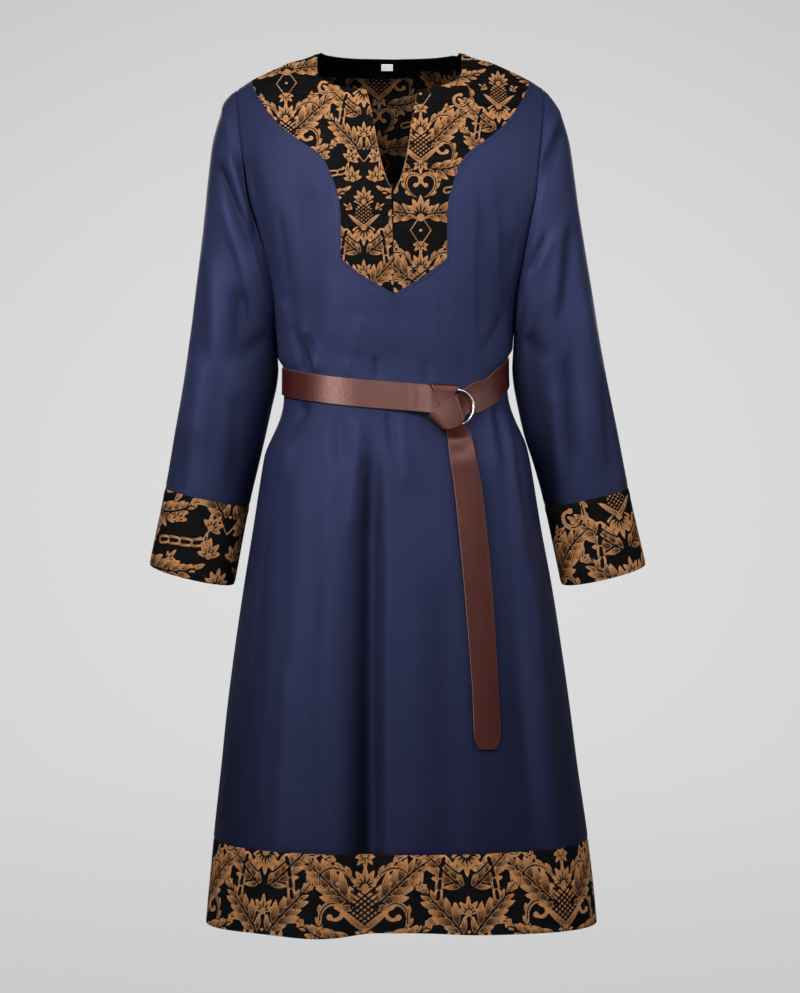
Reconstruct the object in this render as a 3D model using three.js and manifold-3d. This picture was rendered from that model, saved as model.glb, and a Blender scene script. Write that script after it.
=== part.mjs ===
// A long-sleeved tunic dress of navy satin with brocade yoke, cuffs and hem band, worn and
// hollow, with a leather ring belt knotted in front. Millimetres, +Z up, the wearer faces -Y.
// The origin is the middle of the shoulder line, where the wearer's shoulders carry the dress.

import * as THREE from 'three';
import * as BufferGeometryUtils from 'three/addons/utils/BufferGeometryUtils.js';
import Module from 'manifold-3d';

const wasm = await Module();
wasm.setup();

// ---- driving dimensions ----

const CLOTH = 1.6; // satin and brocade wall
const SEAM_GAP = 0.3; // between two pieces at a seam
const SECTION_POWER = 2.35; // roundness of the body's level sections
const ARMPIT_Z = -345;
const SHOULDER_TIP_Z = -45;
const HEM_SEAM_SIDE_Z = -1014;
const HEM_SEAM_SAG = 9; // how much lower the seam hangs in the middle
const HEM_BAND_HEIGHT = 108;
const HEM_LIFT = 7; // the band is this much shorter in the middle
const BACK_HEM_WAVE = { rise: 3, rate: 9 };
const FRONT_ROLL = 110; // height over which the front rolls off the shoulder line
const BACK_ROLL = 60;
const SLIT_BOTTOM_Z = -187.5;

const LEATHER = 2.0;
const STRAP_WIDTH = 35;
const BELT_HALF_WIDTH = 145.0; // cloth under the belt
const BELT_HALF_DEPTH = 96.5;
const BELT_LIFT = 1.7; // middle of the leather above the cloth
const BELT_SWAY = 2; // the waist lies a little to the wearer's left
const CINCH_FULL = 28; // the cloth lies close under the strap this far from its middle
const CINCH_REACH = 48; // and has sprung back this far away
const KNOT_DENT = { x: 70, z: -465, full: 36, reach: 62 }; // where the knot presses the cloth
const RING_RADIUS = 22.3;
const RING_WIRE = 1.5;

const NAVY = 0x30345a;
const BROCADE = 0x3a2a1c;
const BROWN = 0x5a322c;
const NICKEL = 0xd8ccc8;
const WHITE = 0xf2f2f0;

// ---- tables: one row for each level, height first ----

const BODY = [
  { z: 20, half: 222, front: 68, back: 104, sway: -5 },
  { z: -45, half: 222, front: 84, back: 108, sway: -4.5 },
  { z: -96, half: 219, front: 97, back: 114, sway: -4 },
  { z: -142, half: 213, front: 105, back: 118, sway: -3.5 },
  { z: -188, half: 206, front: 110, back: 118, sway: -3 },
  { z: -225, half: 193, front: 111, back: 116, sway: -2 },
  { z: -270, half: 175.5, front: 110, back: 112, sway: -1 },
  { z: -317, half: 160, front: 107, back: 107, sway: 0 },
  { z: ARMPIT_Z, half: 155, front: 104, back: 104, sway: 0.5 },
  { z: -380, half: 150, front: 101, back: 100.5, sway: 1 },
  { z: -402, half: 147.5, front: 99.5, back: 98.5, sway: 1.5 },
  { z: -425, half: 147.5, front: 99, back: 98.5, sway: 2 },
  { z: -452, half: 156, front: 101, back: 101, sway: 2.5 },
  { z: -493, half: 165.5, front: 105.5, back: 106, sway: 3 },
  { z: -532, half: 173.5, front: 109, back: 110, sway: 3.5 },
  { z: -610, half: 186, front: 114, back: 116, sway: 4 },
  { z: -688, half: 199.5, front: 119, back: 120, sway: 5 },
  { z: -766, half: 211.5, front: 124, back: 124, sway: 5.5 },
  { z: -844, half: 222, front: 128, back: 128, sway: 6 },
  { z: -922, half: 231, front: 131, back: 131, sway: 7 },
  { z: -1000, half: 241, front: 135, back: 135, sway: 8.5 },
  { z: -1078, half: 249.5, front: 138, back: 138, sway: 9.5 },
  { z: -1150, half: 256, front: 141, back: 141, sway: 9.5 },
];

// How far out the armhole seam lies at each height.
const ARMHOLE = [
  { z: SHOULDER_TIP_Z, half: 200 },
  { z: -96, half: 196 },
  { z: -142, half: 191 },
  { z: -188, half: 185.5 },
  { z: -225, half: 177.5 },
  { z: -270, half: 168 },
  { z: -317, half: 158.5 },
  { z: ARMPIT_Z, half: 155 },
];

// The shoulder line from the middle of the neck out to the shoulder tip.
const SHOULDER_LINE = [
  { x: 0, z: 16 },
  { x: 50, z: 13 },
  { x: 80, z: 7 },
  { x: 93.5, z: 3 },
  { x: 112, z: -4 },
  { x: 130, z: -8.5 },
  { x: 143, z: -14 },
  { x: 156, z: -20 },
  { x: 169, z: -26 },
  { x: 182, z: -33 },
  { x: 200, z: SHOULDER_TIP_Z },
];

// Largest folds: position across at the top and bottom, heights, width, and depth in or out.
const FOLDS = [
  { face: 'front', xTop: -28, xBottom: -38, zTop: -455, zBottom: -1130, width: 15, depth: -8 },
  { face: 'front', xTop: -80, xBottom: -84, zTop: -480, zBottom: -1110, width: 34, depth: 5 },
  { face: 'front', xTop: -66, xBottom: -120, zTop: -545, zBottom: -760, width: 13, depth: -4 },
  { face: 'front', xTop: 30, xBottom: 34, zTop: -560, zBottom: -1110, width: 46, depth: 4 },
  { face: 'front', xTop: 132, xBottom: 196, zTop: -470, zBottom: -1000, width: 16, depth: 5 },
  { face: 'front', xTop: 112, xBottom: 168, zTop: -500, zBottom: -960, width: 13, depth: -4 },
  { face: 'front', xTop: -112, xBottom: -106, zTop: -150, zBottom: -400, width: 16, depth: -4 },
  { face: 'front', xTop: 146, xBottom: 118, zTop: -160, zBottom: -400, width: 12, depth: -3.5 },
  { face: 'back', xTop: 0, xBottom: 6, zTop: -465, zBottom: -1130, width: 18, depth: -8 },
  { face: 'back', xTop: -60, xBottom: -92, zTop: -480, zBottom: -1120, width: 26, depth: 6 },
  { face: 'back', xTop: 62, xBottom: 98, zTop: -480, zBottom: -1110, width: 26, depth: 6 },
  { face: 'back', xTop: -112, xBottom: -176, zTop: -500, zBottom: -1040, width: 18, depth: -4 },
  { face: 'back', xTop: 116, xBottom: 172, zTop: -500, zBottom: -1080, width: 18, depth: -5 },
  { face: 'back', xTop: -50, xBottom: -36, zTop: -230, zBottom: -400, width: 16, depth: -4 },
  { face: 'back', xTop: 56, xBottom: 44, zTop: -210, zBottom: -400, width: 16, depth: -4 },
];

// Where the front hem swells down or up: share across, width of the swell, rise.
const HEM_SWELLS = [
  { at: -0.24, width: 0.16, rise: -5 },
  { at: -0.02, width: 0.14, rise: 4 },
];

// Sleeve rings below the armhole: under-arm point, over-arm point, half depth, depth of the
// middle, drop of the front edge, and how far the right under-arm is tucked to the skirt.
const SLEEVE = [
  { inX: 156.5, inZ: -360, outX: 220, outZ: -72, deep: 62, y: 0, drop: 0, tuck: 0 },
  { inX: 156, inZ: -372, outX: 231.5, outZ: -112, deep: 63, y: 1, drop: 0, tuck: 0 },
  { inX: 155, inZ: -384, outX: 238, outZ: -158, deep: 62, y: 2, drop: 0, tuck: 0 },
  { inX: 153.5, inZ: -396, outX: 243.5, outZ: -205, deep: 61, y: 3, drop: 0, tuck: 0 },
  { inX: 152.5, inZ: -410, outX: 250.5, outZ: -255, deep: 59, y: 5, drop: 0, tuck: 0 },
  { inX: 155, inZ: -430, outX: 258.5, outZ: -310, deep: 57, y: 7, drop: 0, tuck: 1 },
  { inX: 162, inZ: -458, outX: 266, outZ: -362, deep: 55, y: 10, drop: 1, tuck: 3 },
  { inX: 170.5, inZ: -494, outX: 276.5, outZ: -425, deep: 52, y: 13, drop: 2, tuck: 3.5 },
  { inX: 180.5, inZ: -534, outX: 289, outZ: -490, deep: 49, y: 16, drop: 3, tuck: 1 },
  { inX: 192.7, inZ: -585, outX: 302.2, outZ: -561, deep: 46, y: 18, drop: 4, tuck: 0 },
  { inX: 213, inZ: -686, outX: 324, outZ: -660, deep: 47, y: 20, drop: 7, tuck: 0 },
];
const CUFF_SEAM_RING = SLEEVE.length - 1;

// Middle of the strap round the waist, by degrees from the front towards the wearer's left.
const BELT_LINE = [
  { turn: -180, z: -405 },
  { turn: -90, z: -422 },
  { turn: -45, z: -433 },
  { turn: 0, z: -444.5 },
  { turn: 42, z: -450 },
  { turn: 62, z: -432 },
  { turn: 90, z: -409.5 },
  { turn: 125, z: -403 },
  { turn: 180, z: -405 },
];

// The strap's loop at the ring: top and bottom edge of each crosswise row, seen from the
// front, and how far the middle of the leather lies in front of the cloth.
const LOOP = [
  { topX: 34, topZ: -446.5, topLift: 3.8, lowX: 34, lowZ: -466.5, lowLift: 3.8 },
  { topX: 50, topZ: -446.5, topLift: 3.8, lowX: 50, lowZ: -466.5, lowLift: 3.8 },
  { topX: 62.5, topZ: -446.5, topLift: 3.8, lowX: 62, lowZ: -466.5, lowLift: 3.8 },
  { topX: 67, topZ: -446.5, topLift: 5.0, lowX: 66, lowZ: -466.5, lowLift: 5.0 },
  { topX: 68.4, topZ: -446.5, topLift: 7.2, lowX: 67.4, lowZ: -466.5, lowLift: 7.2 },
  { topX: 67, topZ: -446.4, topLift: 9.3, lowX: 66, lowZ: -466.5, lowLift: 9.3 },
  { topX: 62, topZ: -446.2, topLift: 10.5, lowX: 61, lowZ: -466.5, lowLift: 10.5 },
  { topX: 51, topZ: -440, topLift: 10.5, lowX: 51, lowZ: -466.5, lowLift: 10.5 },
  { topX: 44, topZ: -431.5, topLift: 10.2, lowX: 44, lowZ: -466.2, lowLift: 10.2 },
  { topX: 30, topZ: -429.9, topLift: 8.4, lowX: 30, lowZ: -465, lowLift: 8.4 },
  { topX: 14, topZ: -428.4, topLift: 5, lowX: 14, lowZ: -463.5, lowLift: 5 },
];

// The strap from the right side through the ring, over, behind, over the top and down.
const KNOT = [
  { topX: 101.7, topZ: -429.4, topLift: 1.8, lowX: 117, lowZ: -461.5, lowLift: 1.8 },
  { topX: 91.6, topZ: -435.1, topLift: 2.6, lowX: 106.2, lowZ: -466.6, lowLift: 4.2 },
  { topX: 86, topZ: -439.5, topLift: 2.9, lowX: 98, lowZ: -467.5, lowLift: 5.0 },
  { topX: 81.5, topZ: -442.5, topLift: 8.5, lowX: 91.5, lowZ: -469.5, lowLift: 9.8 },
  { topX: 79, topZ: -444, topLift: 14.6, lowX: 88.5, lowZ: -474.5, lowLift: 14.6 },
  { topX: 71.1, topZ: -449.1, topLift: 15.5, lowX: 86.5, lowZ: -480.8, lowLift: 15.5 },
  { topX: 57.7, topZ: -458.4, topLift: 15.3, lowX: 78, lowZ: -485.5, lowLift: 15.5 },
  { topX: 49.8, topZ: -464, topLift: 14.4, lowX: 69.5, lowZ: -487.6, lowLift: 14.6 },
  { topX: 45.2, topZ: -468.8, topLift: 12.2, lowX: 63.6, lowZ: -487.6, lowLift: 12.4 },
  { topX: 43.2, topZ: -471, topLift: 7, lowX: 61.6, lowZ: -487.8, lowLift: 7.2 },
  { topX: 45, topZ: -470.8, topLift: 2.2, lowX: 63.2, lowZ: -485.8, lowLift: 2.4 },
  { topX: 46.5, topZ: -460, topLift: 1.5, lowX: 68, lowZ: -473, lowLift: 1.5 },
  { topX: 46.9, topZ: -446, topLift: 1.5, lowX: 75, lowZ: -452, lowLift: 1.5 },
  { topX: 47.2, topZ: -436, topLift: 1.6, lowX: 80, lowZ: -438, lowLift: 1.6 },
  { topX: 47.4, topZ: -431.8, topLift: 2.8, lowX: 81.4, lowZ: -433.2, lowLift: 2.8 },
  { topX: 47.8, topZ: -429.8, topLift: 7.2, lowX: 82, lowZ: -431.2, lowLift: 7.2 },
  { topX: 48.2, topZ: -431.4, topLift: 11.6, lowX: 82, lowZ: -432.8, lowLift: 11.6 },
  { topX: 49.4, topZ: -435.6, topLift: 12.9, lowX: 81, lowZ: -437.4, lowLift: 12.9 },
  { topX: 52, topZ: -442.5, topLift: 13, lowX: 76.5, lowZ: -444, lowLift: 13 },
  { topX: 57.7, topZ: -458, topLift: 13, lowX: 79.5, lowZ: -458, lowLift: 13 },
  { topX: 62.5, topZ: -473, topLift: 13, lowX: 83, lowZ: -474, lowLift: 13 },
  { topX: 66.8, topZ: -489, topLift: 11, lowX: 96, lowZ: -490, lowLift: 11 },
  { topX: 68.4, topZ: -499, topLift: 8, lowX: 99.6, lowZ: -500, lowLift: 8 },
  { topX: 70.6, topZ: -523, topLift: 4.4, lowX: 104, lowZ: -523, lowLift: 4.4 },
  { topX: 75.2, topZ: -552, topLift: 3, lowX: 110, lowZ: -552, lowLift: 3 },
  { topX: 86.7, topZ: -665, topLift: 2.6, lowX: 122.5, lowZ: -665, lowLift: 2.6 },
  { topX: 98.7, topZ: -816, topLift: 2.6, lowX: 132, lowZ: -816, lowLift: 2.6 },
  { topX: 102.3, topZ: -880, topLift: 2.6, lowX: 134, lowZ: -880, lowLift: 2.6 },
  { topX: 108, topZ: -892, topLift: 2.6, lowX: 129, lowZ: -892, lowLift: 2.6 },
];

// ---- outlines, seen from the front, x from the middle ----

const YOKE_EDGE = [[180.7, -30], [170, -60], [143, -99], [113.5, -123], [89.5, -142],
  [80, -163], [71, -188.5], [67.3, -214]];
const YOKE_BIB_CORNER = [67.3, -271];
const YOKE_TIP = [[39.4, -293], [0, -316]];
const BACK_YOKE_EDGE = [[180.7, -30], [172, -60], [150, -105], [115, -148], [70, -182],
  [0, -196]];
const NECK_FRONT = [[93.5, 3], [93.3, -24], [90, -34], [82, -41], [61, -49.6], [33, -53],
  [0, -54]];
const NECK_BACK = [[93.5, 3], [86, 4.5], [0, 4.5]];
const SLIT = [[33, -53], [25, -90], [17, -140], [9, -169], [0, SLIT_BOTTOM_Z]];
const ABOVE_SHOULDERS = 80;
const NECK_SHIFT = -5.5; // the neck sits a little to the wearer's right
const YOKE_SHIFT = -4; // and so does the yoke's top, down to this height
const YOKE_SHIFT_FROM = -190;
const SLIT_SHIFT = -2.2; // and the slit's top

// ---- helpers ----

/** Smooth value of a table's column at a height, the table running downwards. */
function atHeight(table, column, z) {
  const last = table.length - 1;
  if (z >= table[0].z) return table[0][column];
  if (z <= table[last].z) return table[last][column];
  const i = table.findIndex((row, k) => k < last && z <= row.z && z > table[k + 1].z);
  const slope = (k) => {
    const above = table[Math.max(k - 1, 0)];
    const below = table[Math.min(k + 1, last)];
    return (below[column] - above[column]) / (below.z - above.z);
  };
  const span = table[i + 1].z - table[i].z;
  const t = (z - table[i].z) / span;
  const rise = table[i + 1][column] - table[i][column];
  const start = slope(i) * span;
  const end = slope(i + 1) * span;
  const bend = start * t * (1 - t) ** 2 - end * t * t * (1 - t);
  return table[i][column] + rise * t * t * (3 - 2 * t) + bend;
}

const shoulderTable = SHOULDER_LINE.map(({ x, z }) => ({ z: -x, height: z }));
const shoulderHeight = (x) => atHeight(shoulderTable, 'height', -Math.abs(x));
const beltTable = BELT_LINE.map(({ turn, z }) => ({ z: -turn, height: z }));
const beltHeight = (turn) => atHeight(beltTable, 'height', -turn);

const lerp = THREE.MathUtils.lerp;
const smooth = THREE.MathUtils.smoothstep;
const signedPower = (value, power) => Math.sign(value) * Math.abs(value) ** power;

/** Height of the hem-band seam, a little lower in front and behind than at the sides. */
const hemSeamHeight = (across) => HEM_SEAM_SIDE_Z
  - HEM_SEAM_SAG * Math.cos((across * Math.PI) / 2);

/** Height of the hem: shorter in the middle, with one low and one high place in front and an
 *  even wave behind. */
function hemHeight(face, across) {
  const swell = ({ at, width, rise }) => rise * Math.exp(-(((across - at) / width) ** 2));
  const wave = face === 'front'
    ? HEM_SWELLS.reduce((sum, row) => sum + swell(row), 0)
    : -BACK_HEM_WAVE.rise * Math.cos(across * BACK_HEM_WAVE.rate);
  const lifted = HEM_LIFT * Math.cos((across * Math.PI) / 2) ** 2;
  return hemSeamHeight(across) - HEM_BAND_HEIGHT + lifted + wave;
}

/** Sum of the large folds at a place on one face. */
function foldDepth(face, x, z) {
  return FOLDS.filter((fold) => fold.face === face).reduce((sum, fold) => {
    const t = (z - fold.zTop) / (fold.zBottom - fold.zTop);
    if (t <= 0 || t >= 1.25) return sum;
    const middle = lerp(fold.xTop, fold.xBottom, t);
    const width = fold.width * lerp(0.8, 1.3, t);
    const ends = smooth(t, 0, 0.18) * (1 - smooth(t, 0.9, 1.25));
    return sum + fold.depth * ends * Math.exp(-(((x - middle) / width) ** 2));
  }, 0);
}

/** A point of the worn cloth's outside: across from -1 to 1, the height that sets its width,
 *  and its own height. */
function bodyPoint(face, across, widthZ, z) {
  const half = atHeight(BODY, 'half', Math.min(widthZ, SHOULDER_TIP_Z));
  const seamReach = widthZ > ARMPIT_Z
    ? Math.asin(Math.min(1, atHeight(ARMHOLE, 'half', widthZ) / half) ** (SECTION_POWER / 2))
    : Math.PI / 2;
  const angle = across * seamReach;
  const side = signedPower(Math.sin(angle), 2 / SECTION_POWER);
  const ahead = Math.abs(Math.cos(angle)) ** (2 / SECTION_POWER);
  const sign = face === 'front' ? -1 : 1;
  const x = half * side;
  const roll = face === 'front' ? FRONT_ROLL : BACK_ROLL;
  const drop = THREE.MathUtils.clamp((shoulderHeight(x) - z) / roll, 0, 1);
  const depth = atHeight(BODY, face, z) * Math.sqrt(1 - (1 - drop) ** 2);
  const point = new THREE.Vector3(x, sign * depth * ahead, z);

  const fold = foldDepth(face, x, z);
  const outX = signedPower(side, SECTION_POWER - 1) / half;
  const outY = (sign * ahead ** (SECTION_POWER - 1)) / Math.max(depth, 1);
  const out = new THREE.Vector3(outX, outY, 0).normalize();
  point.addScaledVector(out, fold);

  const turn = face === 'front' ? THREE.MathUtils.radToDeg(angle)
    : Math.sign(angle || 1) * (180 - Math.abs(THREE.MathUtils.radToDeg(angle)));
  const off = Math.abs(z - beltHeight(turn));
  const fromKnot = face === 'front'
    ? Math.hypot(point.x - KNOT_DENT.x, z - KNOT_DENT.z) : KNOT_DENT.reach;
  const pinch = Math.max(1 - smooth(off, CINCH_FULL, CINCH_REACH),
    1 - smooth(fromKnot, KNOT_DENT.full, KNOT_DENT.reach));
  point.x = lerp(point.x, BELT_HALF_WIDTH * side, pinch);
  point.y = lerp(point.y, sign * BELT_HALF_DEPTH * ahead, pinch);
  point.x += atHeight(BODY, 'sway', z);
  return point;
}

const HALVINGS = 24;

/** The cloth's point at a place across, found by halving the range it can lie in. */
function clothAt(face, x, widthZ, z) {
  let low = -1;
  let high = 1;
  for (let halving = 0; halving < HALVINGS; halving += 1) {
    const middle = (low + high) / 2;
    if (bodyPoint(face, middle, widthZ, z).x < x) low = middle;
    else high = middle;
  }
  return bodyPoint(face, (low + high) / 2, widthZ, z);
}

const NEARBY = 0.2; // share of a grid step over which directions are measured

/** Mesh of a wall: the surface's grid outside, the same grid moved in by the thickness, and
 *  rims between them. rimNormal may give a direction for the rim at a grid point. */
function wall({ columns, rows, surface, thickness, flip = false, tube = false, rimNormal }) {
  const wide = tube ? columns : columns + 1;
  const count = wide * (rows + 1);
  const positions = [];
  const inner = [];
  for (let j = 0; j <= rows; j += 1) {
    for (let i = 0; i < wide; i += 1) {
      const point = surface(i, j);
      const given = rimNormal ? rimNormal(i, j) : null;
      const acrossWay = surface(i + NEARBY, j).sub(surface(i - NEARBY, j));
      const downWay = surface(i, j + NEARBY).sub(surface(i, j - NEARBY));
      const normal = given ?? acrossWay.cross(downWay).normalize().multiplyScalar(flip ? -1 : 1);
      positions.push(...point.toArray());
      inner.push(...point.clone().addScaledVector(normal, -thickness).toArray());
    }
  }
  positions.push(...inner);
  const indices = [];
  const quad = (a, b, c, d) => {
    if (flip) indices.push(a, c, b, a, d, c);
    else indices.push(a, b, c, a, c, d);
  };
  const at = (i, j) => j * wide + (tube ? (i + wide) % wide : i);
  for (let j = 0; j < rows; j += 1) {
    for (let i = 0; i < columns; i += 1) {
      quad(at(i, j), at(i + 1, j), at(i + 1, j + 1), at(i, j + 1));
      quad(count + at(i, j), count + at(i, j + 1), count + at(i + 1, j + 1), count + at(i + 1, j));
    }
  }
  for (let i = 0; i < columns; i += 1) {
    quad(at(i + 1, 0), at(i, 0), count + at(i, 0), count + at(i + 1, 0));
    quad(at(i, rows), at(i + 1, rows), count + at(i + 1, rows), count + at(i, rows));
  }
  if (!tube) {
    for (let j = 0; j < rows; j += 1) {
      quad(at(0, j), at(0, j + 1), count + at(0, j + 1), count + at(0, j));
      quad(at(columns, j + 1), at(columns, j), count + at(columns, j), count + at(columns, j + 1));
    }
  }
  const geometry = new THREE.BufferGeometry();
  geometry.setAttribute('position', new THREE.Float32BufferAttribute(positions, 3));
  geometry.setIndex(indices);
  return geometry;
}

const toManifold = (geometry) => new wasm.Manifold(new wasm.Mesh({
  numProp: 3,
  vertProperties: new Float32Array(geometry.attributes.position.array),
  triVerts: new Uint32Array(geometry.index.array),
}));

function toGeometry(manifold) {
  const mesh = manifold.getMesh();
  const geometry = new THREE.BufferGeometry();
  geometry.setAttribute('position', new THREE.BufferAttribute(mesh.vertProperties, 3));
  geometry.setIndex(new THREE.BufferAttribute(mesh.triVerts, 1));
  return geometry;
}

const CUTTER_REACH = 200; // past the front and the back

/** A cutter through the front or the back: an outline in x and z, run along y. */
function prism(points, face) {
  const shape = new THREE.Shape(points.map(([x, z]) => new THREE.Vector2(x, z)));
  const solid = new THREE.ExtrudeGeometry(shape, { depth: CUTTER_REACH, bevelEnabled: false });
  solid.rotateX(Math.PI / 2);
  if (face === 'back') solid.translate(0, CUTTER_REACH, 0);
  solid.deleteAttribute('normal');
  solid.deleteAttribute('uv');
  return toManifold(BufferGeometryUtils.mergeVertices(solid, 1e-4));
}

/** Points of a smooth curve through an outline's corners. */
function smoothThrough(corners, pieces) {
  const curve = new THREE.SplineCurve(corners.map(([x, z]) => new THREE.Vector2(x, z)));
  return curve.getPoints(pieces).map((point) => [point.x, point.y]);
}

/** Half an outline made whole by its mirror image, shifted sideways with the body's sway. */
function mirrored(half, shift) {
  const other = half.filter(([x]) => x > 1e-6).map(([x, z]) => [-x, z]).reverse();
  return [...half, ...other].map(([x, z]) => [x + shift(z), z]);
}

const neckSway = () => NECK_SHIFT;
const yokeSway = (z) => YOKE_SHIFT * smooth(z, YOKE_SHIFT_FROM, SHOULDER_TIP_Z);

const parts = new THREE.Group();

function addPart(name, geometry, color, roughness, metalness = 0) {
  const material = new THREE.MeshStandardMaterial({ color, roughness, metalness });
  const mesh = new THREE.Mesh(geometry, material);
  mesh.name = name;
  parts.add(mesh);
}

// ---- body panels ----

// Share of the way from the shoulder line to the armpit at each upper row.
const UPPER_ROWS = [0, 0.008, 0.025, 0.05, 0.085, 0.13, 0.2, 0.3, 0.44, 0.6, 0.8, 1];
const UPPER = UPPER_ROWS.length - 1;
// Share of the way from the armpit to the hem-band seam at each lower row.
const LOWER_ROWS = [0, 0.026, 0.052, 0.076, 0.1, 0.124, 0.148, 0.172, 0.2, 0.24, 0.3, 0.38,
  0.46, 0.55, 0.64, 0.73, 0.82, 0.91, 1];
const LOWER = LOWER_ROWS.length - 1;
const COLUMNS = { front: 36, back: 28 };

const rowShare = (list, row) => {
  const k = THREE.MathUtils.clamp(Math.floor(row), 0, list.length - 2);
  return list[k] + (list[k + 1] - list[k]) * (row - k);
};

/** Point of the front or back panel at a column and row, half a seam gap back from the sides
 *  and the shoulder line. */
function panelPoint(face, column, row) {
  const across = THREE.MathUtils.clamp((2 * column) / COLUMNS[face] - 1, -1, 1);
  let point;
  if (row < UPPER) {
    const share = Math.max(rowShare(UPPER_ROWS, row), 0);
    const widthZ = lerp(SHOULDER_TIP_Z, ARMPIT_Z, share);
    const rough = bodyPoint(face, across, widthZ, widthZ);
    const topZ = shoulderHeight(rough.x - atHeight(BODY, 'sway', widthZ));
    point = bodyPoint(face, across, widthZ, lerp(topZ, ARMPIT_Z, share));
  } else {
    const share = rowShare(LOWER_ROWS, row - UPPER);
    const z = lerp(ARMPIT_Z, hemSeamHeight(across) + SEAM_GAP / 2, share);
    point = bodyPoint(face, across, z, z);
  }
  const away = face === 'front' ? -1 : 1;
  point.y = away * Math.max(Math.abs(point.y), SEAM_GAP / 2);
  return point;
}

/** The armhole seam as a closed ring: down the front edge, up the back edge. */
const armholeRing = (side) => {
  const edge = (face, row) => panelPoint(face, side > 0 ? COLUMNS[face] : 0, row);
  const front = UPPER_ROWS.map((_, row) => edge('front', row));
  const back = UPPER_ROWS.slice(1, -1).map((_, row) => edge('back', row + 1)).reverse();
  return [...front, ...back];
};
const ARMHOLES = { 1: armholeRing(1), [-1]: armholeRing(-1) };

/** Direction out of the armhole's oval at one of its points, shared by panel and sleeve. */
function armholeNormal(side, k) {
  const ring = ARMHOLES[side];
  const count = ring.length;
  const along = ring[(k + 1) % count].clone().sub(ring[(k + count - 1) % count]);
  const normal = along.cross(new THREE.Vector3(1, 0, 0)).normalize();
  const middle = new THREE.Vector3(ring[k].x, 0, (SHOULDER_TIP_Z + ARMPIT_Z) / 2);
  const outwards = ring[k].clone().sub(middle);
  return normal.dot(outwards) < 0 ? normal.negate() : normal;
}

/** Rim direction of a panel: the armhole's oval, then straight out at the side seam, and up
 *  along the shoulder line. */
function panelRim(face, column, row) {
  const side = column === 0 ? -1 : 1;
  const atSide = column === 0 || column === COLUMNS[face];
  if (atSide && row <= UPPER) {
    const k = face === 'front' ? row : (2 * UPPER - row) % (2 * UPPER);
    return armholeNormal(side, k);
  }
  if (atSide) {
    const up = panelPoint(face, column, row - 0.3).sub(panelPoint(face, column, row + 0.3));
    return new THREE.Vector3(side * up.z, 0, -side * up.x).normalize();
  }
  if (row === 0) {
    const along = panelPoint(face, column + 0.3, 0).sub(panelPoint(face, column - 0.3, 0));
    return new THREE.Vector3(-along.z, 0, along.x).normalize();
  }
  return null;
}

function panelWall(face) {
  return toManifold(wall({
    columns: COLUMNS[face],
    rows: UPPER + LOWER,
    surface: (i, j) => panelPoint(face, i, j),
    thickness: CLOTH,
    flip: face === 'front',
    rimNormal: (i, j) => panelRim(face, i, j),
  }));
}

const neckFrontHalf = smoothThrough(NECK_FRONT, 14).reverse();
const frontNeck = prism(
  [...mirrored([...neckFrontHalf, [93.5, ABOVE_SHOULDERS]], neckSway)], 'front');
const backNeck = prism(
  [...mirrored([...NECK_BACK].reverse().concat([[93.5, ABOVE_SHOULDERS]]), neckSway)], 'back');
const SLIT_TOP_Z = SLIT[0][1];
const slitSway = (z) => (SLIT_SHIFT * (z - SLIT_BOTTOM_Z)) / (SLIT_TOP_Z - SLIT_BOTTOM_Z);
const slitHalf = [...smoothThrough(SLIT, 10).reverse(), [SLIT[0][0], SLIT_TOP_Z + 13]];
const slit = prism(mirrored(slitHalf, slitSway), 'front');

const yokeHalf = [[180.7, ABOVE_SHOULDERS], ...smoothThrough(YOKE_EDGE, 22), YOKE_BIB_CORNER,
  ...YOKE_TIP].reverse();
const backYokeHalf = [[180.7, ABOVE_SHOULDERS], ...smoothThrough(BACK_YOKE_EDGE, 16)].reverse();

/** An outline moved in by the seam gap, by scaling towards its middle. */
const drawnIn = (half, middleZ) => half.map(([x, z]) => {
  const away = Math.hypot(x, z - middleZ);
  const scale = 1 - (SEAM_GAP * 1.25) / Math.max(away, 40);
  return [x * scale, z > 0 ? z : middleZ + (z - middleZ) * scale];
});

const frontWall = panelWall('front');
const backWall = panelWall('back');
const yokeOutline = prism(mirrored(yokeHalf, yokeSway), 'front');
const yokeInside = prism(mirrored(drawnIn(yokeHalf, -150), yokeSway), 'front');
const backYokeOutline = prism(mirrored(backYokeHalf, yokeSway), 'back');
const backYokeInside = prism(mirrored(drawnIn(backYokeHalf, -60), yokeSway), 'back');

addPart('front_panel', toGeometry(frontWall.subtract(yokeOutline)), NAVY, 0.5);
addPart('back_panel', toGeometry(backWall.subtract(backYokeOutline)), NAVY, 0.5);

const yokeFront = frontWall.intersect(yokeInside).subtract(frontNeck).subtract(slit);
const FRONT_SEAM_X = -0.4; // the seam down the middle of the yoke, under the slit
const YOKE_BOX = { side: 220, bottom: -400, top: 60 };
const halfBox = (side) => prism([
  [FRONT_SEAM_X + (side * SEAM_GAP) / 2, YOKE_BOX.bottom],
  [side * YOKE_BOX.side, YOKE_BOX.bottom],
  [side * YOKE_BOX.side, YOKE_BOX.top],
  [FRONT_SEAM_X + (side * SEAM_GAP) / 2, YOKE_BOX.top],
], 'front');
addPart('yoke_front_left', toGeometry(yokeFront.intersect(halfBox(-1))), BROCADE, 0.8);
addPart('yoke_front_right', toGeometry(yokeFront.intersect(halfBox(1))), BROCADE, 0.8);
addPart('yoke_back', toGeometry(backWall.intersect(backYokeInside).subtract(backNeck)),
  BROCADE, 0.8);

// ---- hem band ----

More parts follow.
